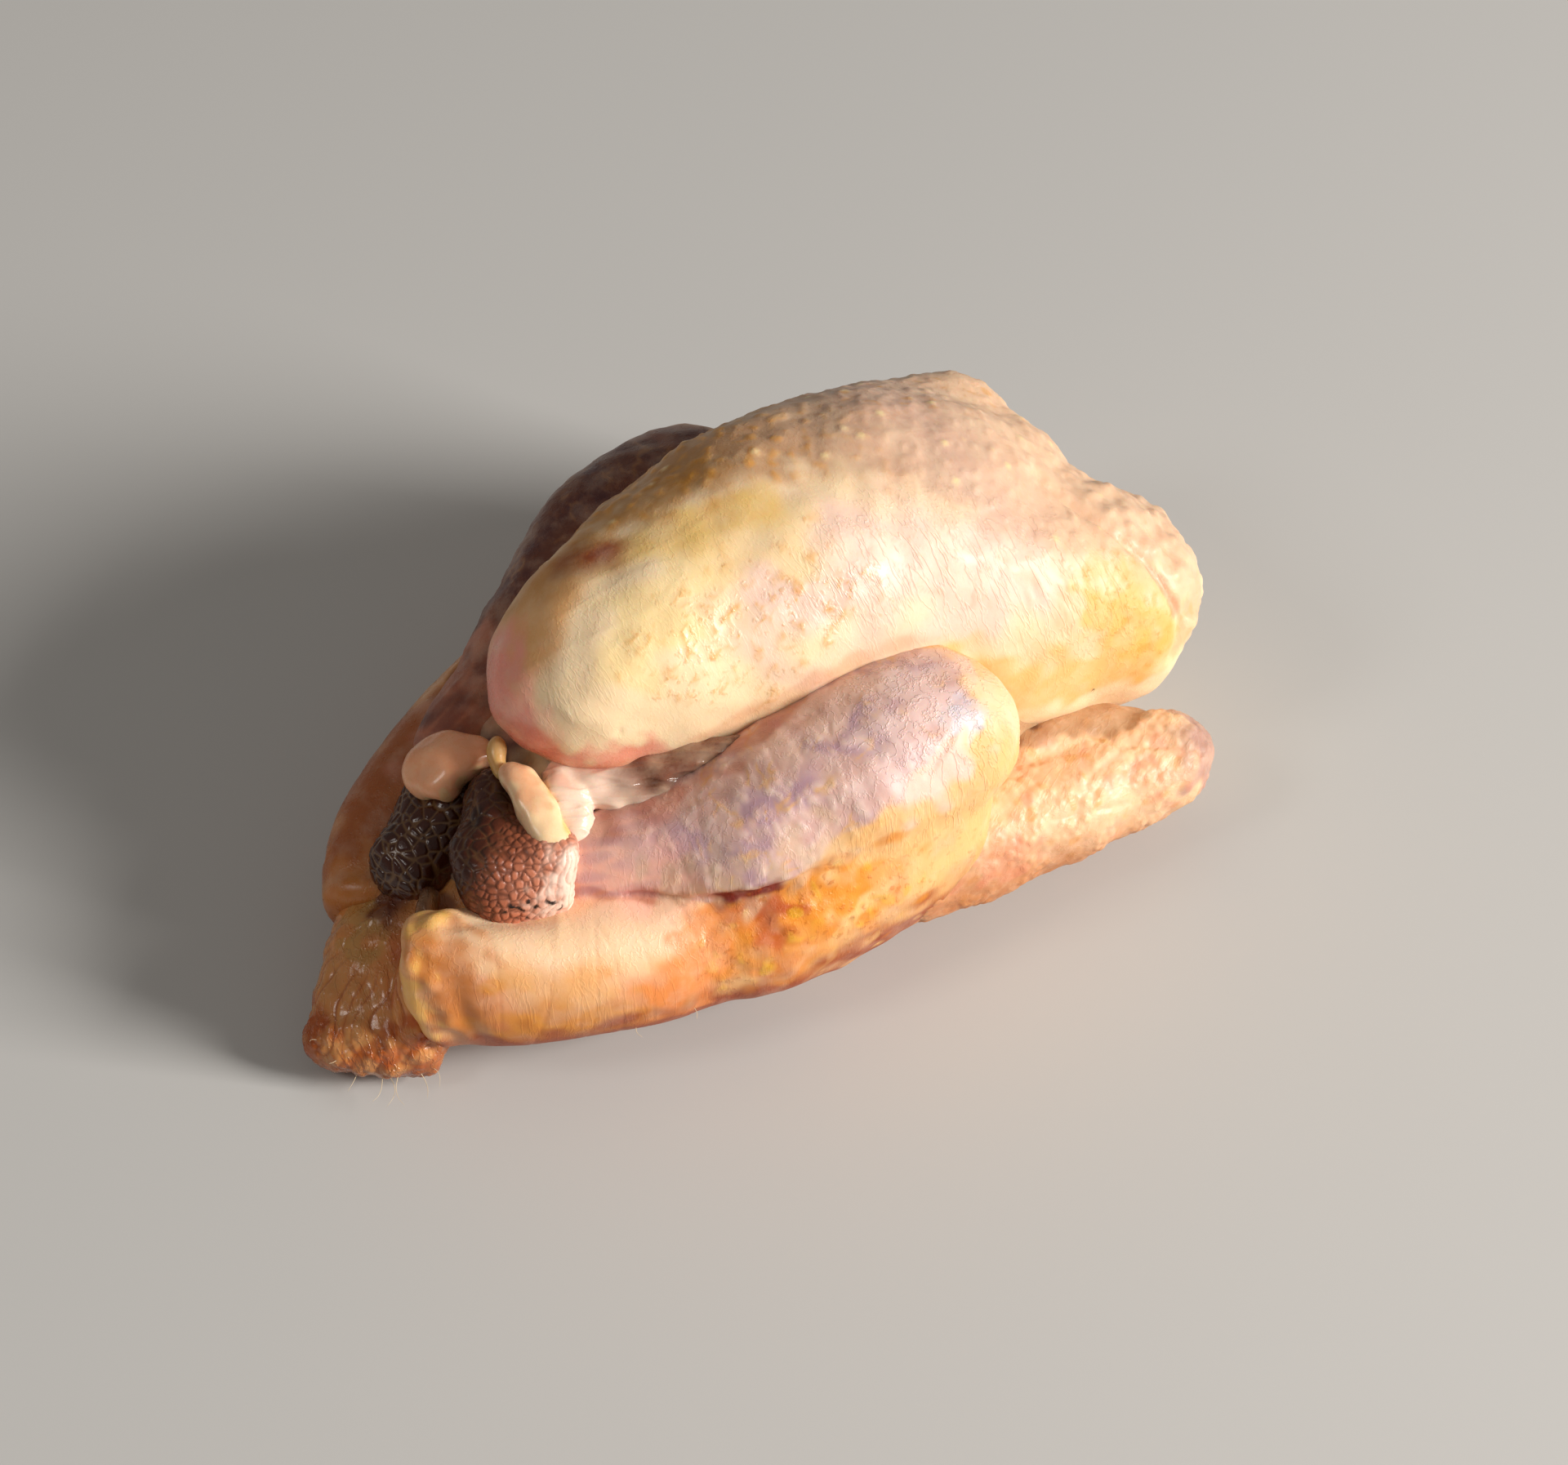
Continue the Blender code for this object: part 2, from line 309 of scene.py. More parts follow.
def press(points, folds, side=1):
    # the height of creases and swellings: each is depth times e to the minus square of distance over width
    height = np.zeros(len(points))
    for depth, width, line in folds.values():
        gap, share = toLine(points, line, side)
        height += depth * np.exp(-((gap / width) ** 2)) * np.sin(np.pi * np.clip(share, 0.06, 0.94)) ** 0.5
    return height


def wrinkles(points, way, wave, seed, width=0.3, stretch=5.0):
    # thin lines drawn out along a direction: 1 where a ripple of the drawn-out space is near zero
    way = np.array(way, float) / np.linalg.norm(way)
    drawn = points - (1 - 1 / stretch) * (points @ way)[:, None] * way
    return np.exp(-((ripple(drawn, wave, seed) / width) ** 2))


def skinMaterial(name, look):
    # a moist skin: the point colour, mottled by noise, with flecks, and a fine relief of creases, grain and pimples
    material = bpy.data.materials.new(name)
    material.use_nodes = True
    tree = material.node_tree
    shader = tree.nodes["Principled BSDF"]
    link = tree.links.new

    def node(kind, **values):
        made = tree.nodes.new(kind)
        for key, value in values.items():
            if key in made.inputs:
                made.inputs[key].default_value = value
            else:
                setattr(made, key, value)
        return made

    def sums(operation, a, b, clamp=False):
        made = node("ShaderNodeMath", operation=operation, use_clamp=clamp)
        for socket, value in zip(made.inputs, (a, b)):
            if isinstance(value, (int, float)):
                socket.default_value = value
            else:
                link(value, socket)
        return made.outputs[0]

    def times(a, b):
        return sums("MULTIPLY", a, b)

    def plus(a, b):
        return sums("ADD", a, b)

    def blend(share, a, b):
        made = node("ShaderNodeMix", data_type="RGBA")
        link(share, made.inputs["Factor"])
        for socket, value in zip((made.inputs[6], made.inputs[7]), (a, b)):
            if isinstance(value, tuple):
                socket.default_value = (*value, 1)
            else:
                link(value, socket)
        return made.outputs[2]

    def between(value, low, high):
        made = node("ShaderNodeMapRange", interpolation_type="SMOOTHSTEP", **{"From Min": low, "From Max": high})
        link(value, made.inputs["Value"])
        return made.outputs[0]

    place = node("ShaderNodeTexCoord").outputs["Object"]
    tone = node("ShaderNodeAttribute", attribute_name="tone").outputs["Color"]
    split = node("ShaderNodeSeparateColor")
    link(node("ShaderNodeAttribute", attribute_name="detail").outputs["Color"], split.inputs[0])
    fleck, creased, wet = split.outputs

    def noise(scale, detail=3.0, rough=0.55, coords=None, output="Fac"):
        made = node("ShaderNodeTexNoise", Scale=scale, Detail=detail, Roughness=rough)
        link(coords or place, made.inputs["Vector"])
        return made.outputs[output]

    patches = between(noise(look["patch"], 4.0, 0.6), *look["patchEdge"])
    fine = between(noise(look["patch"] * 5, 3.0, 0.7), *look["fineEdge"])
    ground = blend(times(patches, look["pale"]), tone, tuple(look["paleColour"]))
    ground = blend(times(fine, look["blush"]), ground, tuple(look["blushColour"]))
    cells = node("ShaderNodeTexVoronoi", Scale=look["fleckScale"], Randomness=0.9)
    warp = node("ShaderNodeVectorMath", operation="MULTIPLY_ADD")
    link(noise(look["fleckScale"] * 1.3, 2.0, 0.5, None, "Color"), warp.inputs[0])
    warp.inputs[1].default_value = [look["warp"]] * 3
    link(place, warp.inputs[2])
    link(warp.outputs[0], cells.inputs["Vector"])
    spots = between(cells.outputs["Distance"], *look["fleckEdge"])
    clumps = between(noise(look["patch"] * 2.2, 2.0, 0.5), *look["clumpEdge"])
    share = sums("MULTIPLY", times(spots, clumps), times(fleck, look["fleck"]), True)
    link(blend(share, ground, tuple(look["fleckColour"])), shader.inputs["Base Color"])

    turned = node("ShaderNodeMapping", vector_type="TEXTURE")
    turned.inputs["Rotation"].default_value = look["creaseTurn"]
    turned.inputs["Scale"].default_value = look["creaseStretch"]
    link(place, turned.inputs["Vector"])
    off = sums("ABSOLUTE", sums("SUBTRACT", noise(look["crease"], 3.0, 0.6, turned.outputs[0]), 0.5), 0)
    creases = between(off, *look["creaseEdge"])
    grain = noise(look["grain"], 3.0, 0.6)
    bumps = times(between(cells.outputs["Distance"], *look["pimpleEdge"]), fleck)
    creases = times(creases, plus(creased, look["leastCrease"]))
    height = plus(times(creases, look["creaseHeight"]), times(grain, look["grainHeight"]))
    height = plus(height, times(bumps, look["pimpleHeight"]))
    relief = node("ShaderNodeBump", Strength=1.0, Distance=0.001)
    link(height, relief.inputs["Height"])
    link(relief.outputs[0], shader.inputs["Normal"])

    dull = sums("MULTIPLY_ADD", noise(look["grain"] * 0.4, 3.0, 0.6), look["dullRange"])
    dull.node.inputs[2].default_value = look["dull"] - look["dullRange"] / 2
    link(sums("SUBTRACT", dull, times(wet, look["wetness"]), True), shader.inputs["Roughness"])
    for socket, key in (
        ("Subsurface Weight", "depth"), ("Subsurface Radius", "glowColour"), ("Subsurface Scale", "glowReach"),
        ("Specular IOR Level", "shine"), ("Coat Weight", "film"), ("Coat Roughness", "filmDull"),
    ):
        shader.inputs[socket].default_value = look[key]
    return material


# the scales of patches, flecks, creases and grain are per metre, and the heights are in millimetres
plainLook = dict(
    patch=110.0, pale=0.22, paleColour=tint(250, 226, 190), blush=0.05, blushColour=tint(226, 158, 112),
    fleckScale=420.0, fleck=0.5, fleckColour=tint(212, 142, 44),
    crease=300.0, creaseTurn=(0, 0, 0.5), creaseStretch=(3.0, 1.0, 1.0), creaseHeight=0.12,
    grain=1100.0, grainHeight=0.05, pimpleHeight=0.12,
    dull=0.5, dullRange=0.24, wetness=0.22, shine=0.42, film=0.06, filmDull=0.14,
    depth=0.30, glowColour=(1.0, 0.42, 0.22), glowReach=0.004, warp=0.004, leastCrease=0.15,
    patchEdge=(0.42, 0.68), fineEdge=(0.45, 0.75), clumpEdge=(0.42, 0.62),  # where the noise starts and fills a patch
    fleckEdge=(0.46, 0.2), pimpleEdge=(0.5, 0.0), creaseEdge=(0.05, 0.0),  # and how far from a middle it fades
)
stubLook = dict(plainLook, pale=0.0, blush=0.0, fleck=0.0, depth=0.03, dull=0.5, dullRange=0.1, film=0.1)
farStubLook = dict(stubLook, dull=0.42, film=0.3)
breastLook = dict(plainLook, creaseTurn=(0, 0.895, -1.31), creaseStretch=(5.0, 1.0, 1.0))
legLook = dict(plainLook, creaseTurn=(0, 1.5, 0), creaseStretch=(9.0, 1.0, 1.0), pale=0.2,
               paleColour=tint(238, 208, 184), fleckColour=tint(198, 106, 22))
wingLook = dict(plainLook, fleckScale=300.0, fleck=0.6, pale=0.22, paleColour=tint(246, 216, 184), patch=160.0)
tailLook = dict(plainLook, paleColour=tint(206, 160, 106), fleckColour=tint(206, 104, 34), dull=0.4, film=0.3,
                creaseTurn=(0, 0.705, -1.738), creaseStretch=(4.0, 1.0, 1.0))
hairLook = dict(plainLook, pale=0.0, blush=0.0, fleck=0.0, creaseHeight=0.0, grainHeight=0.0, depth=0.0)
padLook = dict(plainLook, pale=0.2, blush=0.05, grainHeight=0.03, creaseHeight=0.05, film=0.4, dull=0.36)


breast = dict(
    cell=0.83, rounds=110, swells=[(26, 1, 0.4), (10, 2, 0.12)],  # wave length, seed and height in millimetres
    cream=tint(252, 221, 178), speck=tint(226, 158, 60), paleSpot=tint(244, 216, 160), vein=tint(212, 138, 108),
    # farTones: the far side's own brown and mauve skin, darkened in part as painted shade where the far side turns
    # away from the light
    farTones=[tint(182, 122, 52), tint(178, 118, 44), tint(206, 164, 132), tint(214, 174, 152), tint(232, 190, 156)],
    farPlaces=(-30, 0, 36, 64, 88), farMarks=tint(222, 154, 62), farGold=tint(208, 140, 44), bruise=tint(146, 8, 0),
    ridge=[(-60, 34), (-24, 20), (-16, 16), (-4, 12), (11, 7), (30, 0), (42, -9), (54, -17), (65, -27), (76, -34),
           (90, -38)],  # x and y where the near side turns over to the far one
    neckRim=[(30, 106), (44, 108), (60, 106), (80, 95), (90, 88)],  # z and x
    heights=dict(mark=0.28, sheer=0.22, arc=0.16, vein=0.08, fat=0.15, fatPit=0.15, neckBump=0.5, neckWave=0.3,
                 spot=0.3, farMark=0.3),
    cells=dict(fat=(2.6, 20), neckBump=(3.4, 9), spot=(7.4, 12, 0.8)),  # size, seed, jitter
    lines=dict(  # way, wave length, seed, width, stretch
        sheer=((0.13, -0.81, -0.57), 6, 7, 0.3, 10), arcs=((0.92, -0.16, 0.34), 8, 9, 0.22, 10),
        veins=((0.5, -0.6, -0.5), 7, 11, 0.14, 2.5),
    ),
    places=dict(  # line, reach, soft share, raggedness, wave length, seed
        clusters=([(-22, -22, 90), (-8, -20, 97), (8, -22, 98), (20, -24, 97)], 15, 0.8, 4, 9, 4),
        lowClusters=([(-14, -28, 84), (2, -32, 84)], 11, 0.8, 3, 8, 5),
        sheer=([(58, -12, 103), (70, -28, 87), (80, -43, 68)], 20, 0.7, 4, 12, 6),
        arcs=([(-48, -12, 82), (-30, -2, 97), (-8, 0, 105)], 17, 0.8, 3, 10, 8),
        veins=([(26, -24, 97), (56, -32, 88)], 16, 0.8, 3, 10, 10),
        neckFat=([(97, -47, 55), (93, -45, 64), (88, -42, 73)], 16, 0.8, 3, 7, 19),
        gold=([(-24, 19, 100), (-12, 17, 105), (4, 14, 107)], 12, 0.8, 3, 8, 24),
        bruise=([(-31, 14, 98), (-24, 9, 102)], 8.5, 1.0, 0.5, 6, 17),
        farShade=([(-45, 20, 91), (-38, 17, 94), (-29, 15, 99)], 11, 0.9, 1, 9, 22),
        fatFlecks=([(97, -47, 55), (88, -42, 73)], 14),
        fineCreases=([(30, -24, 98), (60, -30, 88), (80, -43, 68)], 26, 0.8),
        wetTip=([(-58, 8, 82), (-58, -6, 72), (-40, -20, 67)], 14),
    ),
    forms=dict(
        main=oval(0.12, 0.12, 2.1, [
            (-60, 0, 79, 16, 12.5, 17.5), (-45, 1.5, 78, 22.5, 19, 24.5), (-22, 3.5, 75.5, 30, 29.5, 34),
            (5, 6, 70, 39, 40, 45), (35, 6.5, 65, 44, 43.5, 48), (62, 4, 60, 44, 41, 44), (85, 1, 54, 38, 31, 38),
            (102, -3, 46, 30, 22, 30),
        ]),
        nearLobe=oval(0.2, 0.16, 2.1, [
            (34, -11, 58, 20, 30, 28), (60, -16, 57, 28, 35, 33), (88, -19, 51, 28, 30, 32),
            (108, -22, 45, 25, 23, 29), (123, -25, 40, 20, 17, 23),
        ]),
        farLobe=oval(0.2, 0.2, 2.1, [
            (34, 16, 58, 20, 30, 30), (60, 22, 59, 27, 34.5, 34), (80, 24, 57, 26, 31, 32),
            (96, 24, 52, 23, 24, 27), (103, 23, 49, 20, 20, 24),
        ]),
    ),
    patches=dict(  # colour, share, reach, raggedness, wave, line
        # tipGold: a warm gold painted over the breast tip's shaded side, as painted shade
        tipGold=((232, 158, 70), 0.72, 19, 1.5, 12, [(-56, 6, 86), (-49, 7, 92), (-42, 12, 95)]),
        rosyCream=((236, 202, 184), 0.9, 27, 4, 16, [(10, -20, 100), (38, -28, 93), (62, -33, 85)]),
        nearGold=((252, 220, 150), 0.6, 13, 3, 12, [(-30, -14, 95), (-10, -6, 104), (14, -10, 106)]),
        # ridgeGold: the skin's yellow, with a painted warm band of shade where the near side turns over the ridge
        # away from the light
        ridgeGold=((244, 198, 108), 0.7, 11, 2, 14, [(-24, 7, 100), (-8, 3, 106), (12, -4, 108)]),
        neckCream=((240, 198, 154), 0.85, 24, 4, 14, [(78, -42, 64), (96, -42, 56), (100, -30, 78)]),
        lowerGold=((236, 182, 104), 0.85, 13, 2, 8, [(40, -42, 66), (60, -45, 55), (78, -47, 52), (96, -48, 50)]),
        neckFat=((234, 178, 78), 0.75, 13, 3, 7, [(97, -47, 55), (93, -45, 64), (88, -42, 73)]),
        rim=((230, 176, 138), 0.85, 9, 2, 7, [(98, -22, 82), (108, -34, 70), (116, -44, 54), (118, -44, 40)]),
        rose=((255, 164, 146), 0.95, 16, 1, 6, [(-57, 9, 84), (-60, 2, 81), (-60, -5, 74)]),
        roseLip=((234, 136, 114), 0.8, 9, 1.5, 6, [(-58, -3, 74), (-52, -11, 69), (-45, -18, 67), (-34, -24, 67)]),
        # legContact: a brown line painted as shade where the breast meets the leg
        legContact=((214, 136, 88), 0.38, 3.4, 0.5, 8, [(-44, -22, 66), (-32, -26, 66), (-10, -30, 72),
            (10, -33, 78), (34, -37, 80), (46, -43, 72), (54, -46, 58)]),
        neckFold=((222, 146, 112), 0.75, 2.2, 0.8, 5, [(88, -14, 86), (95, -28, 80), (102, -38, 71), (107, -46, 55)]),
    ),
    folds=dict(  # depth, width, line
        neckFold=(-1.8, 1.5, [(84, -4, 88), (88, -14, 86), (95, -28, 80), (102, -38, 71), (107, -46, 55),
            (104, -48, 44)]),
        neckRoll=(0.7, 3.2, [(90, -10, 86), (99, -24, 81), (107, -35, 71), (112, -44, 55)]),
        secondFold=(-0.6, 1.3, [(97, -14, 83), (106, -26, 76), (113, -38, 62)]),
        pit=(-0.9, 1.1, [(-40, -22, 78), (-39.6, -22, 78.2)]),
        tipSwell=(1.7, 10, [(-62, 12, 76), (-61, 2, 72), (-55, -9, 67), (-46, -16, 63)]),
    ),
)


def makeBreast(part):
    piece, points, edges, quads = fusedSkin("breast_skin", part["forms"], part["cell"])
    at, lines, cells, high = (part[key] for key in ("places", "lines", "cells", "heights"))
    main, nearLobe, farLobe = (follow(form, points)[2] for form in part["forms"].values())
    meeting = np.maximum(ramp(-np.abs(main - nearLobe), -9, -1), ramp(-np.abs(main - farLobe), -9, -1))
    points = relax(points, edges, 4, 0.5)
    points = relax(points, edges, part["rounds"], meeting * 0.6)
    normal = outward(points, quads)
    height = swell(points, part["swells"]) + press(points, part["folds"])
    clusters = np.maximum(near(points, *at["clusters"]), 0.6 * near(points, *at["lowClusters"]))
    marks = clusters * np.exp(-((ripple(points, 4.0, 3) / 0.55) ** 2)) * mottle(points, 5, 13, -0.2, 0.9)
    height += high["mark"] * marks
    height += near(points, *at["sheer"]) * high["sheer"] * wrinkles(points, *lines["sheer"])
    past = points[:, 1] - np.interp(points[:, 0], *np.array(part["ridge"], float).T) + 1.6 * ripple(points, 7, 15)
    arcs = near(points, *at["arcs"]) * ramp(past, 4, -6)
    height += arcs * high["arc"] * wrinkles(points, *lines["arcs"])
    veins = near(points, *at["veins"]) * wrinkles(points, *lines["veins"])
    height -= veins * high["vein"]
    neckFat, fatWave = near(points, *at["neckFat"]), ripple(points, 4, 21)
    fatGap, _, _ = cellNoise(points, *cells["fat"])
    height += neckFat * (high["fat"] * ramp(fatGap, 0.7, 0.1) - high["fatPit"] * ramp(fatWave, 0.6, 1.6))
    rimLine = np.interp(points[:, 2], *np.array(part["neckRim"], float).T)
    beyond = ramp(points[:, 0] - rimLine, 0, 4) * ramp(points[:, 1], 8, -4)
    bumps, _, _ = cellNoise(points, *cells["neckBump"])
    height += beyond * (high["neckBump"] * ramp(bumps, 0.75, 0.05) + high["neckWave"] * ripple(points, 9, 10))
    spotGap, _, spotNumber = cellNoise(points, *cells["spot"])
    farSide = ramp(past, -7, 8) * ramp(points[:, 2], 36, 60) * ramp(points[:, 0], -72, -40)
    height += farSide * (high["spot"] * ramp(spotGap, 0.3, 0.05)
                         + high["farMark"] * mottle(points, 4, 16, 0.0, 1.8))
    points = points + normal * height[:, None]
    x, y, _ = points.T
    # the far side's tones, partly its own skin and partly painted shade, laid over the far side along x
    farTone = np.stack([np.interp(x, part["farPlaces"], column) for column in np.transpose(part["farTones"])], axis=1)
    tone = paint(points, evenTone(points, part["cream"]), part["patches"])
    tone = layered(
        tone, (farTone, farSide * 0.92),
        (part["farMarks"], farSide * mottle(points, 4, 16, 0.2, 1.4) * ramp(x, 60, 10) * 0.85),
        (part["farGold"], near(points, *at["gold"]) * (0.45 + 0.3 * mottle(points, 5, 25, -0.3, 1.2))),
        (part["bruise"], near(points, *at["bruise"]) * 0.95),
        (part["farTones"][0], near(points, *at["farShade"]) * 0.55), (part["vein"], veins * 0.3),
        (part["speck"], marks * 0.7 + neckFat * mottle(points, 4, 21, 0.7, 1.6) * 0.5),
        (part["paleSpot"], farSide * ramp(spotGap, 0.2, 0.08) * (spotNumber > 0.2) * 0.8),
        (part["speck"], farSide * ramp(y, 0, 20) * mottle(points, 5, 14, 1.1, 2.2) * 0.5),
    )
    finishSkin(
        piece, points, tone, breastLook,
        fleck=0.15 + clusters * 0.7 + ramp(y, 4, 20) * 0.3 + near(points, *at["fatFlecks"]) * 0.6,
        creased=0.03 + 0.7 * near(points, *at["fineCreases"]) + 0.12 * arcs,
        wet=near(points, *at["wetTip"]) * 1.2 + 0.5 * marks + 0.6 * clusters,
    )
    return points


nearLeg = dict(
    cell=0.635, rounds=240, shade=(1.0, 1.0, 1.0), swells=[(24, 11, 0.3), (8, 12, 0.10)],
    # under: the fat's orange towards the bottom, partly its own colour and partly painted shade on the underside
    cream=tint(244, 190, 124), peach=tint(238, 176, 114), under=tint(170, 78, 4), yolk=tint(236, 184, 56),
    mauve=tint(216, 174, 166), lilac=tint(170, 134, 158), goose=tint(228, 202, 190), ochre=tint(230, 176, 104),
    mauveEdge=[(42, -40), (47, -28), (51, -18), (55, -13), (59, -8), (64, 2), (69, 12), (73, 22), (75, 30), (80, 41)],
    mauveFade=(0, 1.2, 9, -2.5, 4),  # how far the edge moves, its ripple's height and wave length, and its width
    heights=dict(goose=0.3, wrinkle=0.10, band=0.10, crease=0.13, fatWave=0.10, fatPit=0.2, drop=0.12, pit=0.14,
                 lipLump=0.35, lipWave=0.3),
    cells=dict(pores=(2.9, 13, 0.9), pits=(4.2, 17), lumps=(7.0, 23)), poreStretch=(1.15, 0.8, 0.75),
    places=dict(
        fat=([(-34, -65, 34), (-10, -68, 42), (3, -70, 38)], 14, 0.8, 4, 9, 18),
        lip=([(-94, -25, 50), (-105, -33, 40), (-102, -37, 22), (-104, -24, 32)], 10, 0.6),
    ),
    wetFlank=0.1,
    forms=dict(
        drumstick=oval(0.04, 0.16, 2.0, [
            (-62, -25.5, 45.5, 10, 10, 10), (-45, -31.5, 48.5, 13, 12, 12.5), (-22, -40, 52, 20, 16, 16),
            (0, -44, 56, 22, 20, 21), (22, -46, 59, 22, 21.5, 22), (40, -47, 58, 21, 20.5, 21),
            (52, -47, 57, 17, 18, 18),
        ]),
        thigh=oval(0.2, 0.25, 2.2, [
            (-48, -42, 28, 20, 15, 22), (-20, -45, 32, 23, 18, 28), (10, -44, 35, 25, 26, 32),
            (34, -40, 39, 24, 29, 31), (49, -37, 42, 19, 25, 26),
        ]),
        flank=oval(0.05, 0.1, 2.2, [
            (-103, -24, 31, 9, 18, 20), (-94, -29, 32, 12.5, 19, 20), (-76, -37.5, 31, 15, 18.5, 20),
            (-48, -44.5, 29, 17, 17, 20), (-20, -46, 28, 18, 18, 22),
        ]),
    ),
    patches=dict(
        flankTop=((252, 214, 174), 0.85, 13, 1.2, 12, [(-86, -36, 49), (-62, -49, 46), (-50, -53, 44)]),
        flankBlush=((232, 138, 98), 0.5, 10, 1.5, 9, [(-95, -41, 40), (-90, -46, 33)]),
        sideBlush=((234, 142, 104), 0.45, 11, 2, 9, [(-58, -62, 33), (-44, -64, 32)]),
        lipOrange=((206, 122, 48), 0.8, 12, 2, 6, [(-97, -36, 46), (-97, -41, 34)]),
        lipFat=((244, 190, 100), 0.75, 4.5, 1.5, 5, [(-94, -25, 50), (-103, -31, 45), (-105, -34, 33),
            (-103, -36, 24)]),
        lowEdge=((208, 122, 38), 0.5, 12, 1.5, 12, [(-93, -43, 26), (-80, -52, 26), (-60, -60, 22)]),
        flankGold=((230, 150, 40), 0.7, 11, 4, 9, [(-88, -46, 26), (-64, -58, 24)]),
        # lowOrange: the low fat's deep orange, partly its own colour and partly painted shade along the bottom
        lowOrange=((160, 66, 0), 1.0, 19, 3, 9, [(-90, -42, 12), (-60, -58, 11), (-30, -64, 12), (0, -66, 13),
            (16, -66, 14)]),
        orangeFat=((232, 144, 30), 0.95, 13, 4, 9, [(-24, -64, 45), (-10, -67, 44), (2, -69, 41)]),
        deepOrange=((186, 74, 8), 0.9, 8, 2, 6, [(-31, -60, 47), (-25, -64, 42), (-24, -67, 32)]),
        amberSpecks=((228, 142, 50), 0.8, 11, 2, 7, [(-36, -63, 36), (-26, -67, 31), (-18, -68, 32)]),
        redPatch=((240, 142, 62), 0.75, 10, 3, 6, [(-38, -61, 44), (-44, -61, 38), (-48, -61, 30)]),
        kneeCream=((250, 214, 172), 0.85, 13, 2, 8, [(46, -58, 76), (52, -56, 62), (50, -56, 48)]),
    ),
    overPatches=dict(
        hockRose=((255, 192, 170), 0.85, 16, 0.8, 9, [(-66, -28, 50), (-54, -34, 53), (-44, -44, 50)]),
        # kneeTan: painted light on the drumstick's top towards the knee
        kneeTan=((240, 200, 182), 0.75, 9, 2, 8, [(-8, -44, 75), (8, -41, 79), (24, -42, 84), (42, -46, 80)]),
        # topBrown: painted shade where the drumstick's top meets the breast
        topBrown=((186, 112, 88), 0.7, 9, 2, 8, [(-44, -30, 62), (-20, -33, 71), (-4, -34, 76)]),
        # creaseBrown: painted shade in the crease under the drumstick
        creaseBrown=((186, 106, 70), 0.7, 4, 1, 6, [(-60, -35, 46), (-52, -41, 47), (-39, -49, 47), (-30, -57, 49)]),
        lowGold=((216, 184, 146), 0.5, 9, 3, 7, [(-40, -48, 50), (-24, -57, 53), (-8, -62, 57)]),
        # creaseRed: the crease's red, deepened as painted shadow under the drumstick's overhanging edge
        creaseRed=((126, 26, 8), 1.0, 4.6, 0.6, 4, [(-33, -57, 48), (-27, -59, 49), (-23, -62, 50)]),
        kneePale=((242, 210, 202), 0.75, 16, 3, 8, [(24, -57, 77), (16, -61, 70)]),
        kneecap=((224, 214, 220), 0.8, 5.5, 1, 4, [(30, -60, 78), (34, -60, 75)]),
        kneeBlue=((128, 148, 166), 0.8, 1.8, 0.5, 3, [(35, -61, 73), (36, -61, 73)]),
    ),
    folds=dict(
        underStub=(-4.0, 7.5, [(-90, -28, 52), (-79, -32, 52), (-66, -39, 50)]),
        underDrum=(-1.6, 1.6, [(-62, -34, 45), (-52, -41, 47), (-39, -49, 47), (-30, -57, 49), (-21, -62, 50),
            (-13, -64, 52)]),
        drumEdge=(-0.7, 1.0, [(-16, -64, 52), (-7, -63, 54), (9, -65, 62), (21, -65, 71), (30, -62, 76)]),
        drumBulge=(1.5, 6, [(-34, -52, 53), (-20, -59, 56), (-6, -61, 60)]),
        kneecap=(0.35, 3.0, [(30, -60, 77), (33, -60, 75)]),
        lipFat=(1.7, 3.0, [(-94, -25, 50), (-103, -31, 45), (-105, -34, 34), (-103, -37, 24), (-99, -38, 18)]),
        behindLip=(-1.1, 2.4, [(-90, -32, 50), (-96, -38, 42), (-96, -43, 30), (-93, -45, 20)]),
        sinew=(0.4, 0.8, [(-14, -50, 71), (-12, -57, 66), (-10, -61, 60)]),
    ),
)
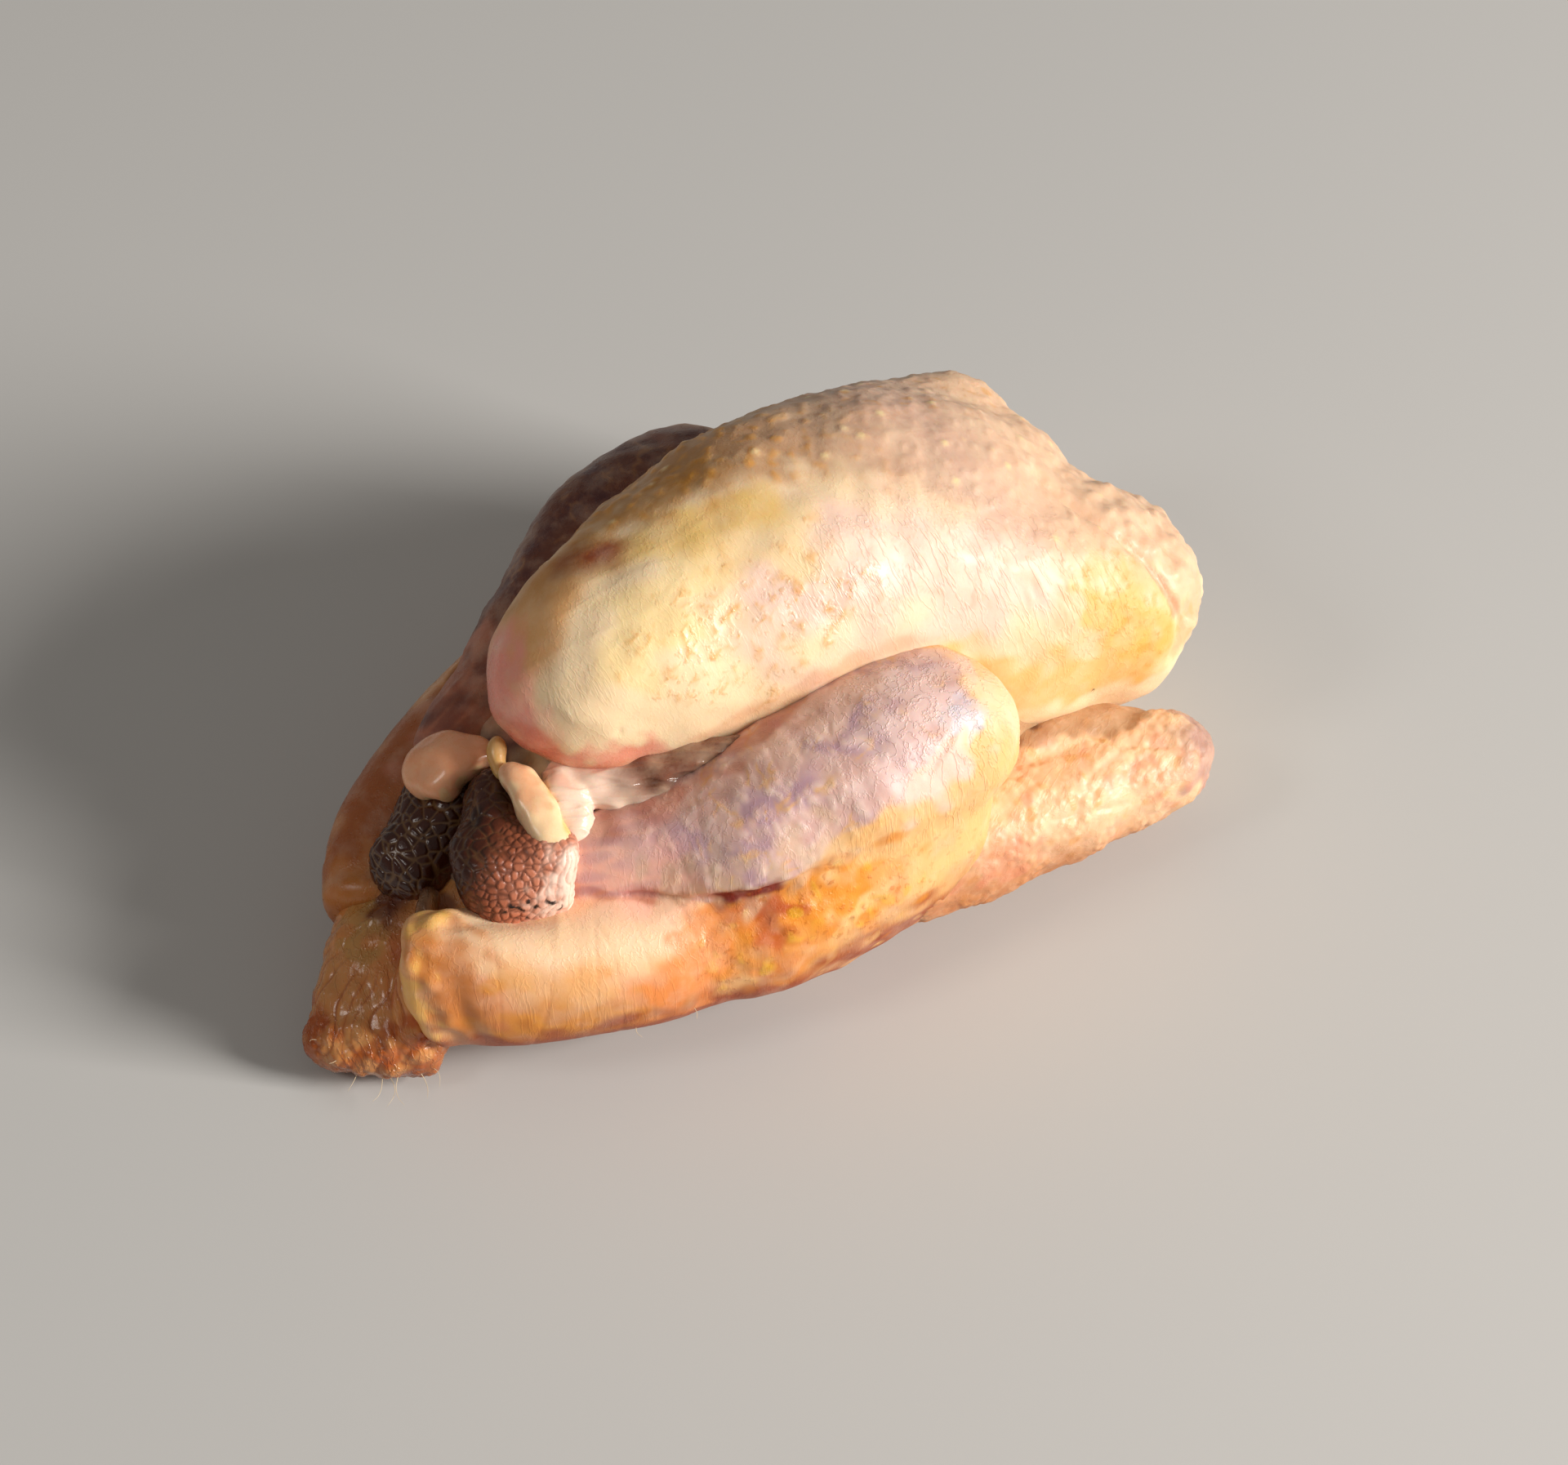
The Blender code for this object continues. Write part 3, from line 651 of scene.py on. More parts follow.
# the far leg: its shade factor and its darker copies of the near leg's mauve, lilac, goose and ochre are painted
# shade, as it lies in the breast's shade
farLeg = dict(
    nearLeg, cell=0.8, shade=0.85 ** np.array([1, 1.6, 1.9]), under=tint(190, 100, 40),
    mauve=tint(106, 54, 44), lilac=tint(86, 44, 56), goose=tint(132, 86, 68), ochre=tint(176, 124, 74),
    mauveFade=(7, 1.5, 16, -8, 8), wetFlank=0.9,
    forms=dict(
        drumstick=oval(0.04, 0.16, 2.0, [
            (-69, 15, 50, 8, 8, 8), (-59, 23, 49, 10, 10, 10), (-45, 29, 51.5, 12, 12, 12),
            (-22, 39, 58, 15.5, 15.5, 15.5), (-2, 47, 61, 19, 19, 19), (16, 51, 60, 20, 20, 20),
            (32, 52, 55, 20, 20, 20), (44, 51, 50, 18, 18, 18),
        ]),
        thigh=oval(0.2, 0.25, 2.2, [
            (-40, 38, 28, 16, 16, 22), (-18, 42, 31, 21, 22, 27), (8, 46, 33, 25, 26, 31), (32, 44, 35, 24, 28, 32),
            (47, 41, 38, 20, 24, 28),
        ]),
        flank=oval(0.05, 0.1, 2.2, [
            (-98, 4, 24, 11, 9, 14), (-87, 18, 26, 13, 11, 18), (-71, 28, 29, 14, 13, 22),
            (-52, 34, 32, 16, 15, 24), (-30, 40, 32, 18, 18, 24),
        ]),
    ),
    patches=dict(
        orangeFat=((236, 150, 60), 0.8, 15, 5, 9, [(-24, -62, 34), (-5, -66, 36), (16, -66, 38)]),
        redPatch=((214, 102, 58), 0.7, 7.5, 2.5, 6, [(-40, -54, 42), (-34, -58, 34)]),
        flapBrown=((176, 96, 44), 0.9, 22, 4, 12, [(-70, -34, 44), (-88, -22, 38), (-100, -10, 30)]),
        lipFat=((206, 152, 76), 0.9, 6, 2, 5, [(-104, -8, 28), (-97, -2, 31), (-90, 3, 33)]),
    ),
    overPatches=dict(
        hockRose=((206, 132, 102), 0.85, 16, 2.5, 9, [(-68, -16, 50), (-56, -28, 52), (-46, -32, 60)]),
        # topBrown and creaseBrown: painted shade where the drumstick meets the breast and in the crease under it
        topBrown=((128, 76, 58), 0.6, 9, 2, 8, [(-44, -30, 62), (-20, -36, 71), (6, -44, 79)]),
        creaseBrown=((150, 84, 52), 0.7, 4, 1, 6, [(-58, -34, 46), (-46, -43, 46), (-34, -51, 47), (-22, -58, 48)]),
        kneePale=((190, 146, 128), 0.5, 15, 3, 8, [(26, -62, 72), (18, -66, 64)]),
        flapEnd=((214, 138, 66), 0.9, 14, 3, 8, [(-100, -6, 30), (-97, -20, 20), (-93, -30, 12)]),
    ),
    folds=dict(
        underDrum=(-1.8, 1.8, [(-58, -34, 46), (-46, -43, 46), (-34, -51, 47), (-22, -58, 48), (-10, -63, 49)]),
        sinewOne=(0.9, 1.1, [(-60, -20, 57), (-50, -24, 63), (-34, -30, 70)]),
        sinewTwo=(0.8, 1.0, [(-62, -26, 57), (-48, -32, 64), (-30, -38, 72)]),
        sinewThree=(0.7, 1.0, [(-60, -14, 56), (-52, -18, 62), (-40, -24, 68)]),
        lipFat=(1.4, 3.2, [(-104, -8, 28), (-97, -2, 31), (-90, 3, 32)]),
        behindLip=(-0.9, 2.4, [(-102, -14, 31), (-94, -8, 35), (-86, -4, 36)]),
    ),
)


def makeLeg(name, part, side):
    # side is 1 for the near leg, whose places the tables give, and -1 for the far one, where they are mirrored
    piece, points, edges, quads = fusedSkin(name, part["forms"], part["cell"])
    at, cells, high = (part[key] for key in ("places", "cells", "heights"))
    along, around, drum = follow(part["forms"]["drumstick"], points)
    _, _, thigh = follow(part["forms"]["thigh"], points)
    flankAlong, flankAround, flank = follow(part["forms"]["flank"], points)
    meeting = ramp(-np.abs(thigh - flank), -12, -1) * ramp(drum, 1.5, 6)
    knee = ramp(-np.abs(thigh - drum), -12, -1) * ramp(points[:, 0], -22, 2)
    points = relax(points, edges, 4, 0.5)
    points = relax(points, edges, part["rounds"], np.maximum(meeting, knee) * 0.65)
    normal = outward(points, quads)
    onDrum = ramp(np.minimum(thigh, flank) - drum, -1.0, 1.5)
    onFlank = ramp(np.minimum(thigh, drum) - flank, -2.0, 3.0)
    height = swell(points, part["swells"]) * (1 - 0.6 * onFlank) + press(points, part["folds"], side)
    uneven = np.stack([ripple(points, 9, seed) for seed in (33, 34, 35)], axis=1)
    pores, _, number = cellNoise(points * part["poreStretch"] + 0.5 * uneven, *cells["pores"])
    goose = onDrum * ramp(along, 110, 60) * ramp(along, 12, 26)
    height += goose * high["goose"] * ramp(pores, 0.7, 0.1) * (0.3 + 0.7 * number)
    knuckle = onDrum * ramp(along, 60, 95)
    height += knuckle * high["wrinkle"] * wrinkles(points, (0.3, -0.4 * side, -0.8), 6, 14, 0.3, 3)
    bands = np.stack([along, around * 2.5, 0 * along], axis=1)
    height -= onDrum * high["band"] * np.exp(-((ripple(bands, 15, 15) / 0.09) ** 2)) * ramp(along, 14, 30)
    bands = np.stack([flankAlong, flankAround * 1.6, 0 * along], axis=1)
    creases = onFlank * np.exp(-((ripple(bands, 8, 16) / 0.16) ** 2)) * ramp(flankAlong, 12, 24)
    height -= high["crease"] * creases
    pits, _, _ = cellNoise(points, *cells["pits"])
    fat = near(points, *at["fat"], side=side)
    drops = fat * mottle(points, 4.6, 27, 0.5, 1.5) * mottle(points, 10, 31, -0.6, 0.6)
    thighPits = (1 - onDrum) * ramp(points[:, 0], -30, -5) * ramp(pits, 0.3, 0.08)
    thighPits *= mottle(points, 12, 32, -0.6, 0.8)
    height += fat * (high["fatWave"] * ripple(points, 4.5, 19) - high["fatPit"] * ramp(pits, 0.34, 0.1))
    height += high["drop"] * drops - high["pit"] * thighPits
    lip = near(points, *at["lip"], side=side) * onFlank
    lumps, _, _ = cellNoise(points, *cells["lumps"])
    height += lip * (high["lipLump"] * ramp(lumps, 0.75, 0.1) + high["lipWave"] * ripple(points, 7, 24))
    points = points + normal * height[:, None]
    x, _, z = points.T
    moved, rough, wave, low, full = part["mauveFade"]
    edge = np.interp(z, *np.array(part["mauveEdge"], float).T) + moved
    dim = onDrum * ramp(edge - x + rough * ripple(points, wave, 25), low, full)
    thighSide = (1 - onDrum) * ramp(x, -30, 0)
    squiggles = np.exp(-((ripple(points, 5, 28) / 0.4) ** 2)) * mottle(points, 9, 29, 0.0, 1.0)
    tone = layered(
        evenTone(points, part["cream"]), (part["peach"], onFlank * 0.9),
        # darker orange towards the bottom: partly the fat's own colour, partly painted shade
        (part["under"], ramp(z + 2.5 * ripple(points, 9, 26), 38, 11) + creases * 0.10),
    )
    tone = layered(
        paint(points, tone, part["patches"], side), (part["yolk"], drops * 0.6),
        (part["peach"], thighSide * mottle(points, 12, 37, 0.2, 1.4) * 0.5),
        (part["ochre"], thighPits * 0.8 + thighSide * mottle(points, 5, 36, 0.6, 1.7) * 0.45),
        (part["mauve"], dim * 0.95),
        (part["lilac"], dim * mottle(points, 15, 21, -0.6, 1.2) * ramp(pores, 0.1, 0.6) * 0.65),
        (part["goose"], dim * ramp(pores, 0.7, 0.2) * ramp(along, 118, 60) * (0.1 + 0.6 * number)),
        (part["ochre"], dim * squiggles * ramp(along, 26, 40) * 0.7),
    )
    streaks = onDrum * ramp(along, 38, 10) * (1 - wrinkles(points, (0.92, -0.36 * side, 0.14), 5.5, 30, 0.9, 4))
    tone = layered(paint(points, tone, part["overPatches"], side), (part["lilac"], streaks * 0.38)) * part["shade"]
    finishSkin(
        piece, points, tone, legLook,
        fleck=0.1 + 0.8 * fat + 0.15 * lip + 0.5 * thighSide,
        creased=0.1 + 0.15 * goose + 0.12 * onFlank + 0.8 * knuckle,
        wet=0.35 * dim + 0.5 * lip + 0.3 * fat + 0.7 * drops + part["wetFlank"] * onFlank,
    )
    return points


wings = dict(
    cell=0.5, rounds=8, swells=[(20, 32, 0.4), (7, 33, 0.15)], knobs=(2.8, 31), smallKnobs=(1.7, 36),
    knobHeight=0.62, smallHeight=0.16,
    cream=tint(244, 204, 160), pink=tint(234, 166, 140), gold=tint(226, 160, 74), low=tint(198, 124, 72),
    # gap: a dark brown painted as shade in the gap where the wing's strip meets the breast
    strip=tint(178, 134, 96), gap=tint(104, 56, 28),
    stripLine=[(56, -43, 43), (64, -44, 42), (73, -45, 41), (83, -48.5, 37), (95, -45, 31)],
    nearForms=dict(
        forearm=oval(0.1, 0.14, 2.2, [
            (12, -52, 22, 13, 13, 14), (40, -54, 22, 14, 14, 14), (70, -56, 22, 14, 14, 14),
            (92, -57, 22, 13, 12, 13), (108, -58, 22, 11, 10, 11),
        ]),
        upper=oval(0.1, 0.2, 2.0, [
            (55, -43, 31, 9, 8, 12), (76, -46, 29, 9, 8, 12), (90, -49, 26, 9, 6, 12), (99, -53, 23, 8, 5, 9),
        ]),
    ),
    farForms=dict(
        forearm=oval(0.1, 0.14, 2.2, [
            (12, 52, 22, 13, 13, 14), (40, 54, 22, 14, 14, 14), (70, 56, 22, 14, 14, 14), (92, 57, 22, 13, 12, 13),
            (106, 57, 22, 11, 10, 11),
        ]),
    ),
    patches=dict(
        wristPink=((172, 128, 120), 0.82, 12, 2, 8, [(101, -66, 27), (108, -62, 30), (112, -62, 20), (106, -66, 14)]),
        elbowPink=((230, 140, 106), 0.45, 8, 3, 6, [(30, -66, 30), (44, -68, 26)]),
        middlePink=((232, 146, 112), 0.4, 7, 3, 6, [(84, -67, 30), (92, -66, 27)]),
    ),
    folds=dict(
        tipFold=(-1.2, 1.4, [(80, -57, 37), (90, -62, 34), (100, -66, 28)]),
        longFold=(-0.6, 1.2, [(50, -66, 32), (66, -69, 30), (84, -70, 25)]),
    ),
)


def makeWing(name, forms, part, side):
    piece, points, edges, quads = fusedSkin(name, forms, part["cell"])
    points = relax(points, edges, part["rounds"], 0.5)
    knobs, _, _ = cellNoise(points, *part["knobs"])
    small, _, _ = cellNoise(points, *part["smallKnobs"])
    strip = near(points, part["stripLine"], 8, 0.4, 1, 6, 38, side)
    rough = part["knobHeight"] * ramp(knobs, 0.8, 0.1) * mottle(points, 14, 37, -1.2, 0.8)
    rough += part["smallHeight"] * ramp(small, 0.8, 0.1)
    height = swell(points, part["swells"]) + press(points, part["folds"], side) + rough * (1 - 0.8 * strip)
    x, _, z = points.T
    lowShare = ramp(z + 0.2 * (x - 40), 37, 18)
    points = points + outward(points, quads) * height[:, None]
    tone = layered(
        evenTone(points, part["cream"]),
        (part["pink"], mottle(points, 8, 34, 0.5, 2.0) * 0.45 + ramp(knobs, 0.35, 0.9) * 0.14),
        (part["gold"], mottle(points, 5, 35, 0.7, 1.9) * 0.5), (part["low"], lowShare * 0.88),
    )
    tone = layered(
        paint(points, tone, part["patches"], side), (part["strip"], strip * 0.85),
        # the gap's dark brown is painted shade between wing and breast
        (part["gap"], near(points, part["stripLine"][:2], 6, 0.8, 1, 5, 39, side) * 0.9),
    )
    finishSkin(piece, points, tone, wingLook, fleck=0.3, creased=0.2, wet=0.05)


back = dict(
    cell=1.0, rounds=6, swells=[(24, 41, 0.35), (8, 42, 0.15)], bumps=(4.0, 48), bumpHeight=0.5,
    pale=tint(238, 198, 150), pink=tint(232, 176, 140),
    forms=dict(
        torso=oval(0.1, 0.08, 2.6, [
            (-84, -2, 22, 26, 14, 21), (-60, 0, 27, 35, 26, 27), (-30, 0, 31, 42, 34, 31.5),
            (10, 0, 34, 45, 38, 35), (50, 0, 35, 44, 38, 36), (85, 0, 36, 40, 32, 36), (108, -2, 36, 32, 24, 31),
        ]),
    ),
    patches=dict(
        # cavity: the body cavity's own dark red, deepened as painted shade in its recess
        cavity=((80, 12, 2), 0.95, 16, 2, 8, [(-60, 6, 56), (-72, 0, 48), (-84, -6, 38), (-94, -4, 30)]),
        web=((176, 118, 92), 0.9, 9, 2, 7, [(-50, 14, 60), (-54, 22, 56)]),
        armpit=((176, 134, 98), 0.85, 14, 2, 8, [(50, -44, 44), (90, -42, 42)]),
    ),
)
tail = dict(
    cell=0.42, rounds=14, swells=[(24, 41, 0.3), (7, 42, 0.22)], knobs=(2.4, 44),
    heights=dict(pleat=0.5, groove=0.3, crease=0.35, knob=0.4),
    fanRoot=(-93, -4, 33.0), fanAhead=(-0.53, -0.56, -0.64), fanRise=(-0.45, -0.1, 0.88), pleatCount=21,
    ochre=tint(216, 142, 78), orange=tint(178, 78, 8), fold=tint(168, 84, 40), pale=tint(206, 150, 94),
    shade=tint(120, 50, 10),
    forms=dict(
        tail=oval(0.05, 0.12, 2.4, [
            (-70, -2, 22, 22, 16, 16), (-90, -6, 19, 20, 14, 14), (-103, -14, 15, 18, 11, 12),
            (-113, -22, 10, 17, 8, 9), (-117.5, -27, 8, 15, 6, 6),
        ]),
        pleat=oval(0.2, 0.3, 2.0, [
            (-92, -16, 32, 4, 4, 6), (-99, -21, 29, 4.5, 4, 6), (-104, -27, 22, 4, 4, 5), (-106, -32, 15, 3, 3, 4),
        ]),
        knob=oval(0.3, 0.3, 2.0, [
            (-86, -8, 38, 2.5, 2.5, 4), (-90, -12, 38, 2.6, 2.6, 3), (-93, -16, 36, 2.2, 2, 3),
        ]),
    ),
    patches=dict(
        knob=((78, 40, 24), 0.95, 7, 0, 5, [(-84, -6, 42), (-93, -13, 38)]),
        # cavity: the dark red of the opening, deepened as painted shade in its recess
        cavity=((84, 16, 4), 0.9, 9, 0.5, 9, [(-86, 2, 36), (-96, -3, 31)]),
        pleats=((188, 88, 34), 0.8, 7, 2, 6, [(-97, -18, 30), (-104, -28, 20)]),
        oliveFat=((196, 146, 78), 0.7, 6, 2, 6, [(-101, 0, 29), (-104, -8, 27)]),
    ),
)


def makeBack(part):
    piece, points, edges, quads = fusedSkin("back_skin", part["forms"], part["cell"])
    points = relax(points, edges, part["rounds"], 0.5)
    bumps, _, _ = cellNoise(points, *part["bumps"])
    height = swell(points, part["swells"])
    height += part["bumpHeight"] * ramp(points[:, 0], 70, 95) * ramp(bumps, 0.75, 0.05)
    points = points + outward(points, quads) * height[:, None]
    points[:, 2] = np.maximum(points[:, 2], lowest)
    neckShare = ramp(points[:, 0], 60, 95) * mottle(points, 12, 49, -0.8, 1.4)
    tone = paint(points, evenTone(points, part["pale"]), part["patches"])
    finishSkin(piece, points, layered(tone, (part["pink"], neckShare * 0.5)), plainLook, 0.25, 0.25, 0.25)


def makeTail(part):
    piece, points, edges, quads = fusedSkin("tail_skin", part["forms"], part["cell"])
    along, _, _ = follow(part["forms"]["tail"], points)
    points = relax(points, edges, part["rounds"], 0.5)
    normal, high = outward(points, quads), part["heights"]
    # pleats fan out from the cavity's mouth: waves of the turn about it
    ahead = np.array(part["fanAhead"])
    flat = np.cross(ahead, part["fanRise"])
    off = points - part["fanRoot"]
    turn, reach = np.arctan2(off @ flat, off @ ahead), np.linalg.norm(off, axis=1)
    fan = np.abs(np.sin(turn * part["pleatCount"] + 0.9 * ripple(points, 11, 43)))
    height = swell(points, part["swells"])
    height += ramp(reach, 12, 26) * mottle(points, 12, 47, -1.2, 0.6) * (high["pleat"] * fan**0.5 - high["groove"])
    creased = ramp(reach, 22, 8) * ramp(points[:, 0], -88, -98)
    height += creased * high["crease"] * wrinkles(points, (-0.5, -0.5, -0.7), 5, 46, 0.35, 3)
    knobs, _, _ = cellNoise(points, *part["knobs"])
    rim = ramp(reach + 0.10 * (points[:, 1] + 20), 29, 34) * ramp(along, 30, 40)
    height += rim * high["knob"] * ramp(knobs, 0.7, 0.1)
    points = points + normal * height[:, None]
    points[:, 2] = np.maximum(points[:, 2], lowest)
    tone = layered(
        evenTone(points, part["ochre"]), (part["fold"], ramp(reach, 12, 26) * ramp(fan, 0.4, 0.1) * 0.6),
        (part["pale"], ramp(reach, 14, 24) * ramp(fan, 0.5, 0.95) * 0.45),
        (part["orange"], rim * mottle(points, 8, 45, -0.9, 0.7) * 0.9),
        (part["shade"], ramp(points[:, 2], 18, 5) * 0.6),
    )
    tone = paint(points, tone, part["patches"])
    finishSkin(piece, points, tone, tailLook, fleck=0.3 + 0.4 * rim, creased=1.0, wet=0.9)
    return points


stubs = dict(
    cell=0.33, swells=[(14, 57, 0.35)], scales=(1.9, 52, 0.7), largeScales=(3.3, 51, 0.6), scaleHeight=0.36,
    largeHeight=0.34, pleatHeight=0.34, pleatCount=13,
    dark=tint(72, 30, 14), black=tint(30, 14, 8), brown=tint(180, 100, 66), salmon=tint(236, 152, 118),
    line=tint(126, 92, 56), pink=tint(248, 214, 194), red=tint(214, 136, 106),
    pleatTop=(-60, -31, 60), pleatSide=(0.84, -0.54, 0.0), pleatDown=(-0.40, -0.61, -0.68),
    ticks=([(-77, -35, 50), (-69, -37, 50)], 3.0, 0.6, 1, 4, 3),
    near=dict(
        barrel=oval(0.22, 0.10, 2.2, [
            (-84, -18.5, 45.5, 11, 12, 13), (-77, -20.5, 47.5, 12.5, 13.5, 16), (-67, -25, 47.5, 12.5, 14, 16),
            (-59, -29, 46.5, 11.5, 13, 14),
        ]),
        shank=oval(0.3, 0.3, 2.0, [
            (-60, 2, 54, 6, 6, 6), (-66, -6, 54, 8, 8, 8), (-72, -15, 51, 10, 9, 9), (-75, -21, 49, 10, 9, 9),
        ]),
    ),
    far=dict(
        shank=oval(0.1, 0.2, 2.1, [
            (-60, 16, 44, 8, 8, 8), (-66, 12.5, 44, 10, 9.5, 9.5), (-77, 7, 38.5, 11, 10.5, 10),
            (-93, 0, 31, 9.5, 9, 9),
        ]),
    ),
)


def makeStub(name, forms, part, isNear):
    piece, points, edges, quads = fusedSkin(name, forms, part["cell"])
    points = relax(points, edges, 40 if len(forms) > 1 else 6, 0.6)
    normal = outward(points, quads)
    x, y, z = points.T
    if isNear:  # how far each point lies towards the cut, and on the far stub how high
        ahead = 0.6 * (x + 83) - 0.8 * (y + 20) - 0.25 * (z - 46)
        large, brown, salmon = ramp(ahead, 4, 3), ramp(ahead, -1, 10), ramp(ahead, 7, 17)
        pink = ramp(ahead + 1.6 * ripple(points, 4, 53), 15, 23)
    else:
        lower = z + 0.35 * y - 0.45 * (x + 75)
        large, brown = ramp(lower + 1.2 * ripple(points, 9, 54), 36, 39), 1 - ramp(lower, 33, 42)
        pink = salmon = np.zeros(len(points))
    bigGap, bigAfter, _ = cellNoise(points, *part["largeScales"])
    gap, after, number = cellNoise(points, *part["scales"])
    seam = np.where(large > 0.5, ramp(bigAfter - bigGap, 0.14, 0.03), ramp(after - gap, 0.16, 0.03))
    dome = np.where(large > 0.5, part["largeHeight"] * ramp(bigAfter - bigGap, 0.0, 0.3),
                    part["scaleHeight"] * ramp(after - gap, 0.0, 0.32))
    off = points - part["pleatTop"]  # pleats fan down from under the pad: waves of the turn about that place
    turn = np.arctan2(off @ part["pleatSide"], off @ part["pleatDown"])
    pleats = np.abs(np.sin(turn * part["pleatCount"] + 0.9 * ripple(points, 6, 56)))
    height = swell(points, part["swells"]) + dome * (1 - 0.8 * pink) + pink * part["pleatHeight"] * pleats**0.6
    points = points + normal * height[:, None]
    ticks = near(points, *part["ticks"]) * mottle(points, 2.4, 60, 0.4, 0.8) * isNear
    tone = layered(
        evenTone(points, part["dark"]),
        (part["black"], mottle(points, 9, 58, -0.2, 1.2) * (0.6 if isNear else 0.35)),
        (part["brown"], brown * (0.45 + 0.35 * ramp(after - gap, 0.1, 0.5) + 0.2 * (number - 0.5))),
        (part["salmon"], salmon * 0.5), (part["line"], seam * (0.45 if isNear else 0.75) * (1 - brown)),
        (part["dark"], seam * brown * 0.6), (part["pink"], pink * 0.95),
        (part["red"], pink * ramp(pleats, 0.4, 0.05) * 0.6), (part["black"], ticks),
    )
    finishSkin(piece, points, tone, stubLook if isNear else farStubLook, wet=0.9 - 0.9 * np.maximum(pink, brown))


pads = dict(
    cell=0.42, rounds=10, swells=[(7, 61, 0.2)], foldLines=((0.8, -0.5, 0.1), 4, 62, 0.45, 7), foldHeight=0.4,
    near_pad=dict(base=tint(255, 215, 168), folded=False, forms=dict(
        pad=oval(0.16, 0.2, 2.2, [
            (-63, -5, 65, 3.2, 3, 4), (-62.5, -12, 65, 4.4, 3.5, 5), (-63, -20, 63, 5.0, 3.5, 5),
            (-63, -27, 59.5, 4.4, 3.2, 5), (-62, -32.5, 55, 2.6, 2.2, 3),
        ]),
    ), patches=dict(
        edge=((244, 190, 98), 0.8, 4, 1, 5, [(-56, -16, 64), (-56, -26, 60), (-58, -31, 57)]),
        blush=((238, 170, 124), 0.75, 6, 1.5, 5, [(-63, -10, 69), (-63, -18, 67)]),
    )),
    far_pad=dict(base=tint(255, 178, 132), folded=False, forms=dict(
        pad=oval(0.25, 0.25, 2.3, [
            (-59, 4, 57, 2.5, 3, 3), (-64, 8, 57.5, 5.5, 4, 5), (-70, 11, 56, 8.5, 5, 6),
            (-76, 11.5, 52, 8.5, 5, 6), (-79, 11, 49, 6, 4, 5),
        ]),
    ), patches=dict(
        rim=((236, 196, 142), 0.85, 3.6, 1, 4, [(-60, 0, 57), (-68, 2, 55), (-75, 3, 51), (-79, 7, 48)]),
        top=((236, 158, 108), 0.5, 5, 1, 5, [(-66, 16, 60), (-76, 18, 55)]),
    )),
    amber=dict(base=tint(212, 160, 78), folded=False, forms=dict(
        lump=oval(0.3, 0.3, 2.0, [
            (-60, 3, 66, 1.8, 2.2, 2.4), (-62, 0, 65.5, 2.4, 2.6, 2.8), (-63.5, -3, 63.5, 2.3, 2.6, 3),
            (-63.5, -6, 61, 1.5, 1.8, 2),
        ]),
    ), patches=dict()),
    skin_folds=dict(base=tint(250, 218, 196), folded=True, forms=dict(
        lobe=oval(0.25, 0.3, 2.2, [
            (-52, -11, 62, 4.5, 3, 5), (-54, -17, 61, 5.5, 4, 6), (-56, -23.5, 57.5, 5.6, 4, 6),
            (-57.5, -29.5, 53, 4, 3, 4),
        ]),
        # the web's thin far end reaches into the gap between breast and drumstick, where the shade patch paints it
        # dark brown: a sheet standing as painted shade
        web=oval(0.15, 0.3, 2.4, [
            (-56, -10, 61.5, 4.5, 3, 8), (-46, -16, 62, 5.5, 3.5, 9), (-34, -22.5, 63.5, 4.8, 3.2, 8),
            (-22, -27.5, 66, 3.6, 2.4, 6), (-12, -30.5, 68, 2, 1.6, 3),
        ]),
        webRoll=oval(0.3, 0.35, 2.0, [
            (-52, -15, 60, 3.5, 2.5, 4), (-45, -23, 60, 3.6, 2.6, 4), (-37, -28, 60.5, 3.2, 2.4, 4),
            (-29, -31, 62, 2.5, 2, 3),
        ]),
    ), patches=dict(
        shade=((112, 62, 40), 0.95, 15.5, 0.5, 9, [(-32, -24, 62), (-30, -25, 68), (-8, -30, 69)]),
        blush=((232, 160, 132), 0.5, 5, 1.5, 5, [(-57, -9, 66), (-45, -18, 67)]),
    )),
)


def makePad(name, pad, part):
    piece, points, edges, quads = fusedSkin(name, pad["forms"], part["cell"])
    points = relax(points, edges, part["rounds"], 0.5)
    height = swell(points, part["swells"])
    height += pad["folded"] * part["foldHeight"] * wrinkles(points, *part["foldLines"])
    points = points + outward(points, quads) * height[:, None]
    finishSkin(piece, points, paint(points, evenTone(points, pad["base"]), pad["patches"]), padLook, wet=0.35)


hairs = dict(
    pale=tint(226, 206, 170), dark=tint(46, 32, 24), thick=0.11, sides=5, steps=12,
    paths=[  # start, way, sideways bend, all in millimetres
        ((-113, -34, 6), (-5, -7, -1.5), (1.5, -1, 0)), ((-110, -36, 7), (-3, -8, -2), (-1.5, 0, 0)),
        ((-107, -38, 8), (-2, -7, -2), (1, 0, -1)), ((-116, -31, 6), (-6, -5, -1), (0, -1.5, 0)),
        ((-119, -22, 12), (-5, -2, 2), (0, 1, -2)), ((-120, -18, 14), (-4, 0, 3), (0, 2, -1)),
        ((-104, -40, 9), (-1, -5, -2), (1, 0, 0.5)), ((-118, -26, 8), (-5, -4, 0), (1, 1, -1)),
        ((-45, -67, 18), (-1, -3, -1), (0.5, 0, 0)), ((-60, -61, 16), (0, -3, -1), (-0.6, 0, 0)),
    ],
    curls=[((80, -50, 41), (1.2, -2.0, 3.0), (2.0, 0.5, 0.5)), ((-60, -33, 58), (1, -2, 1), (0.6, 0, -0.6))],
)


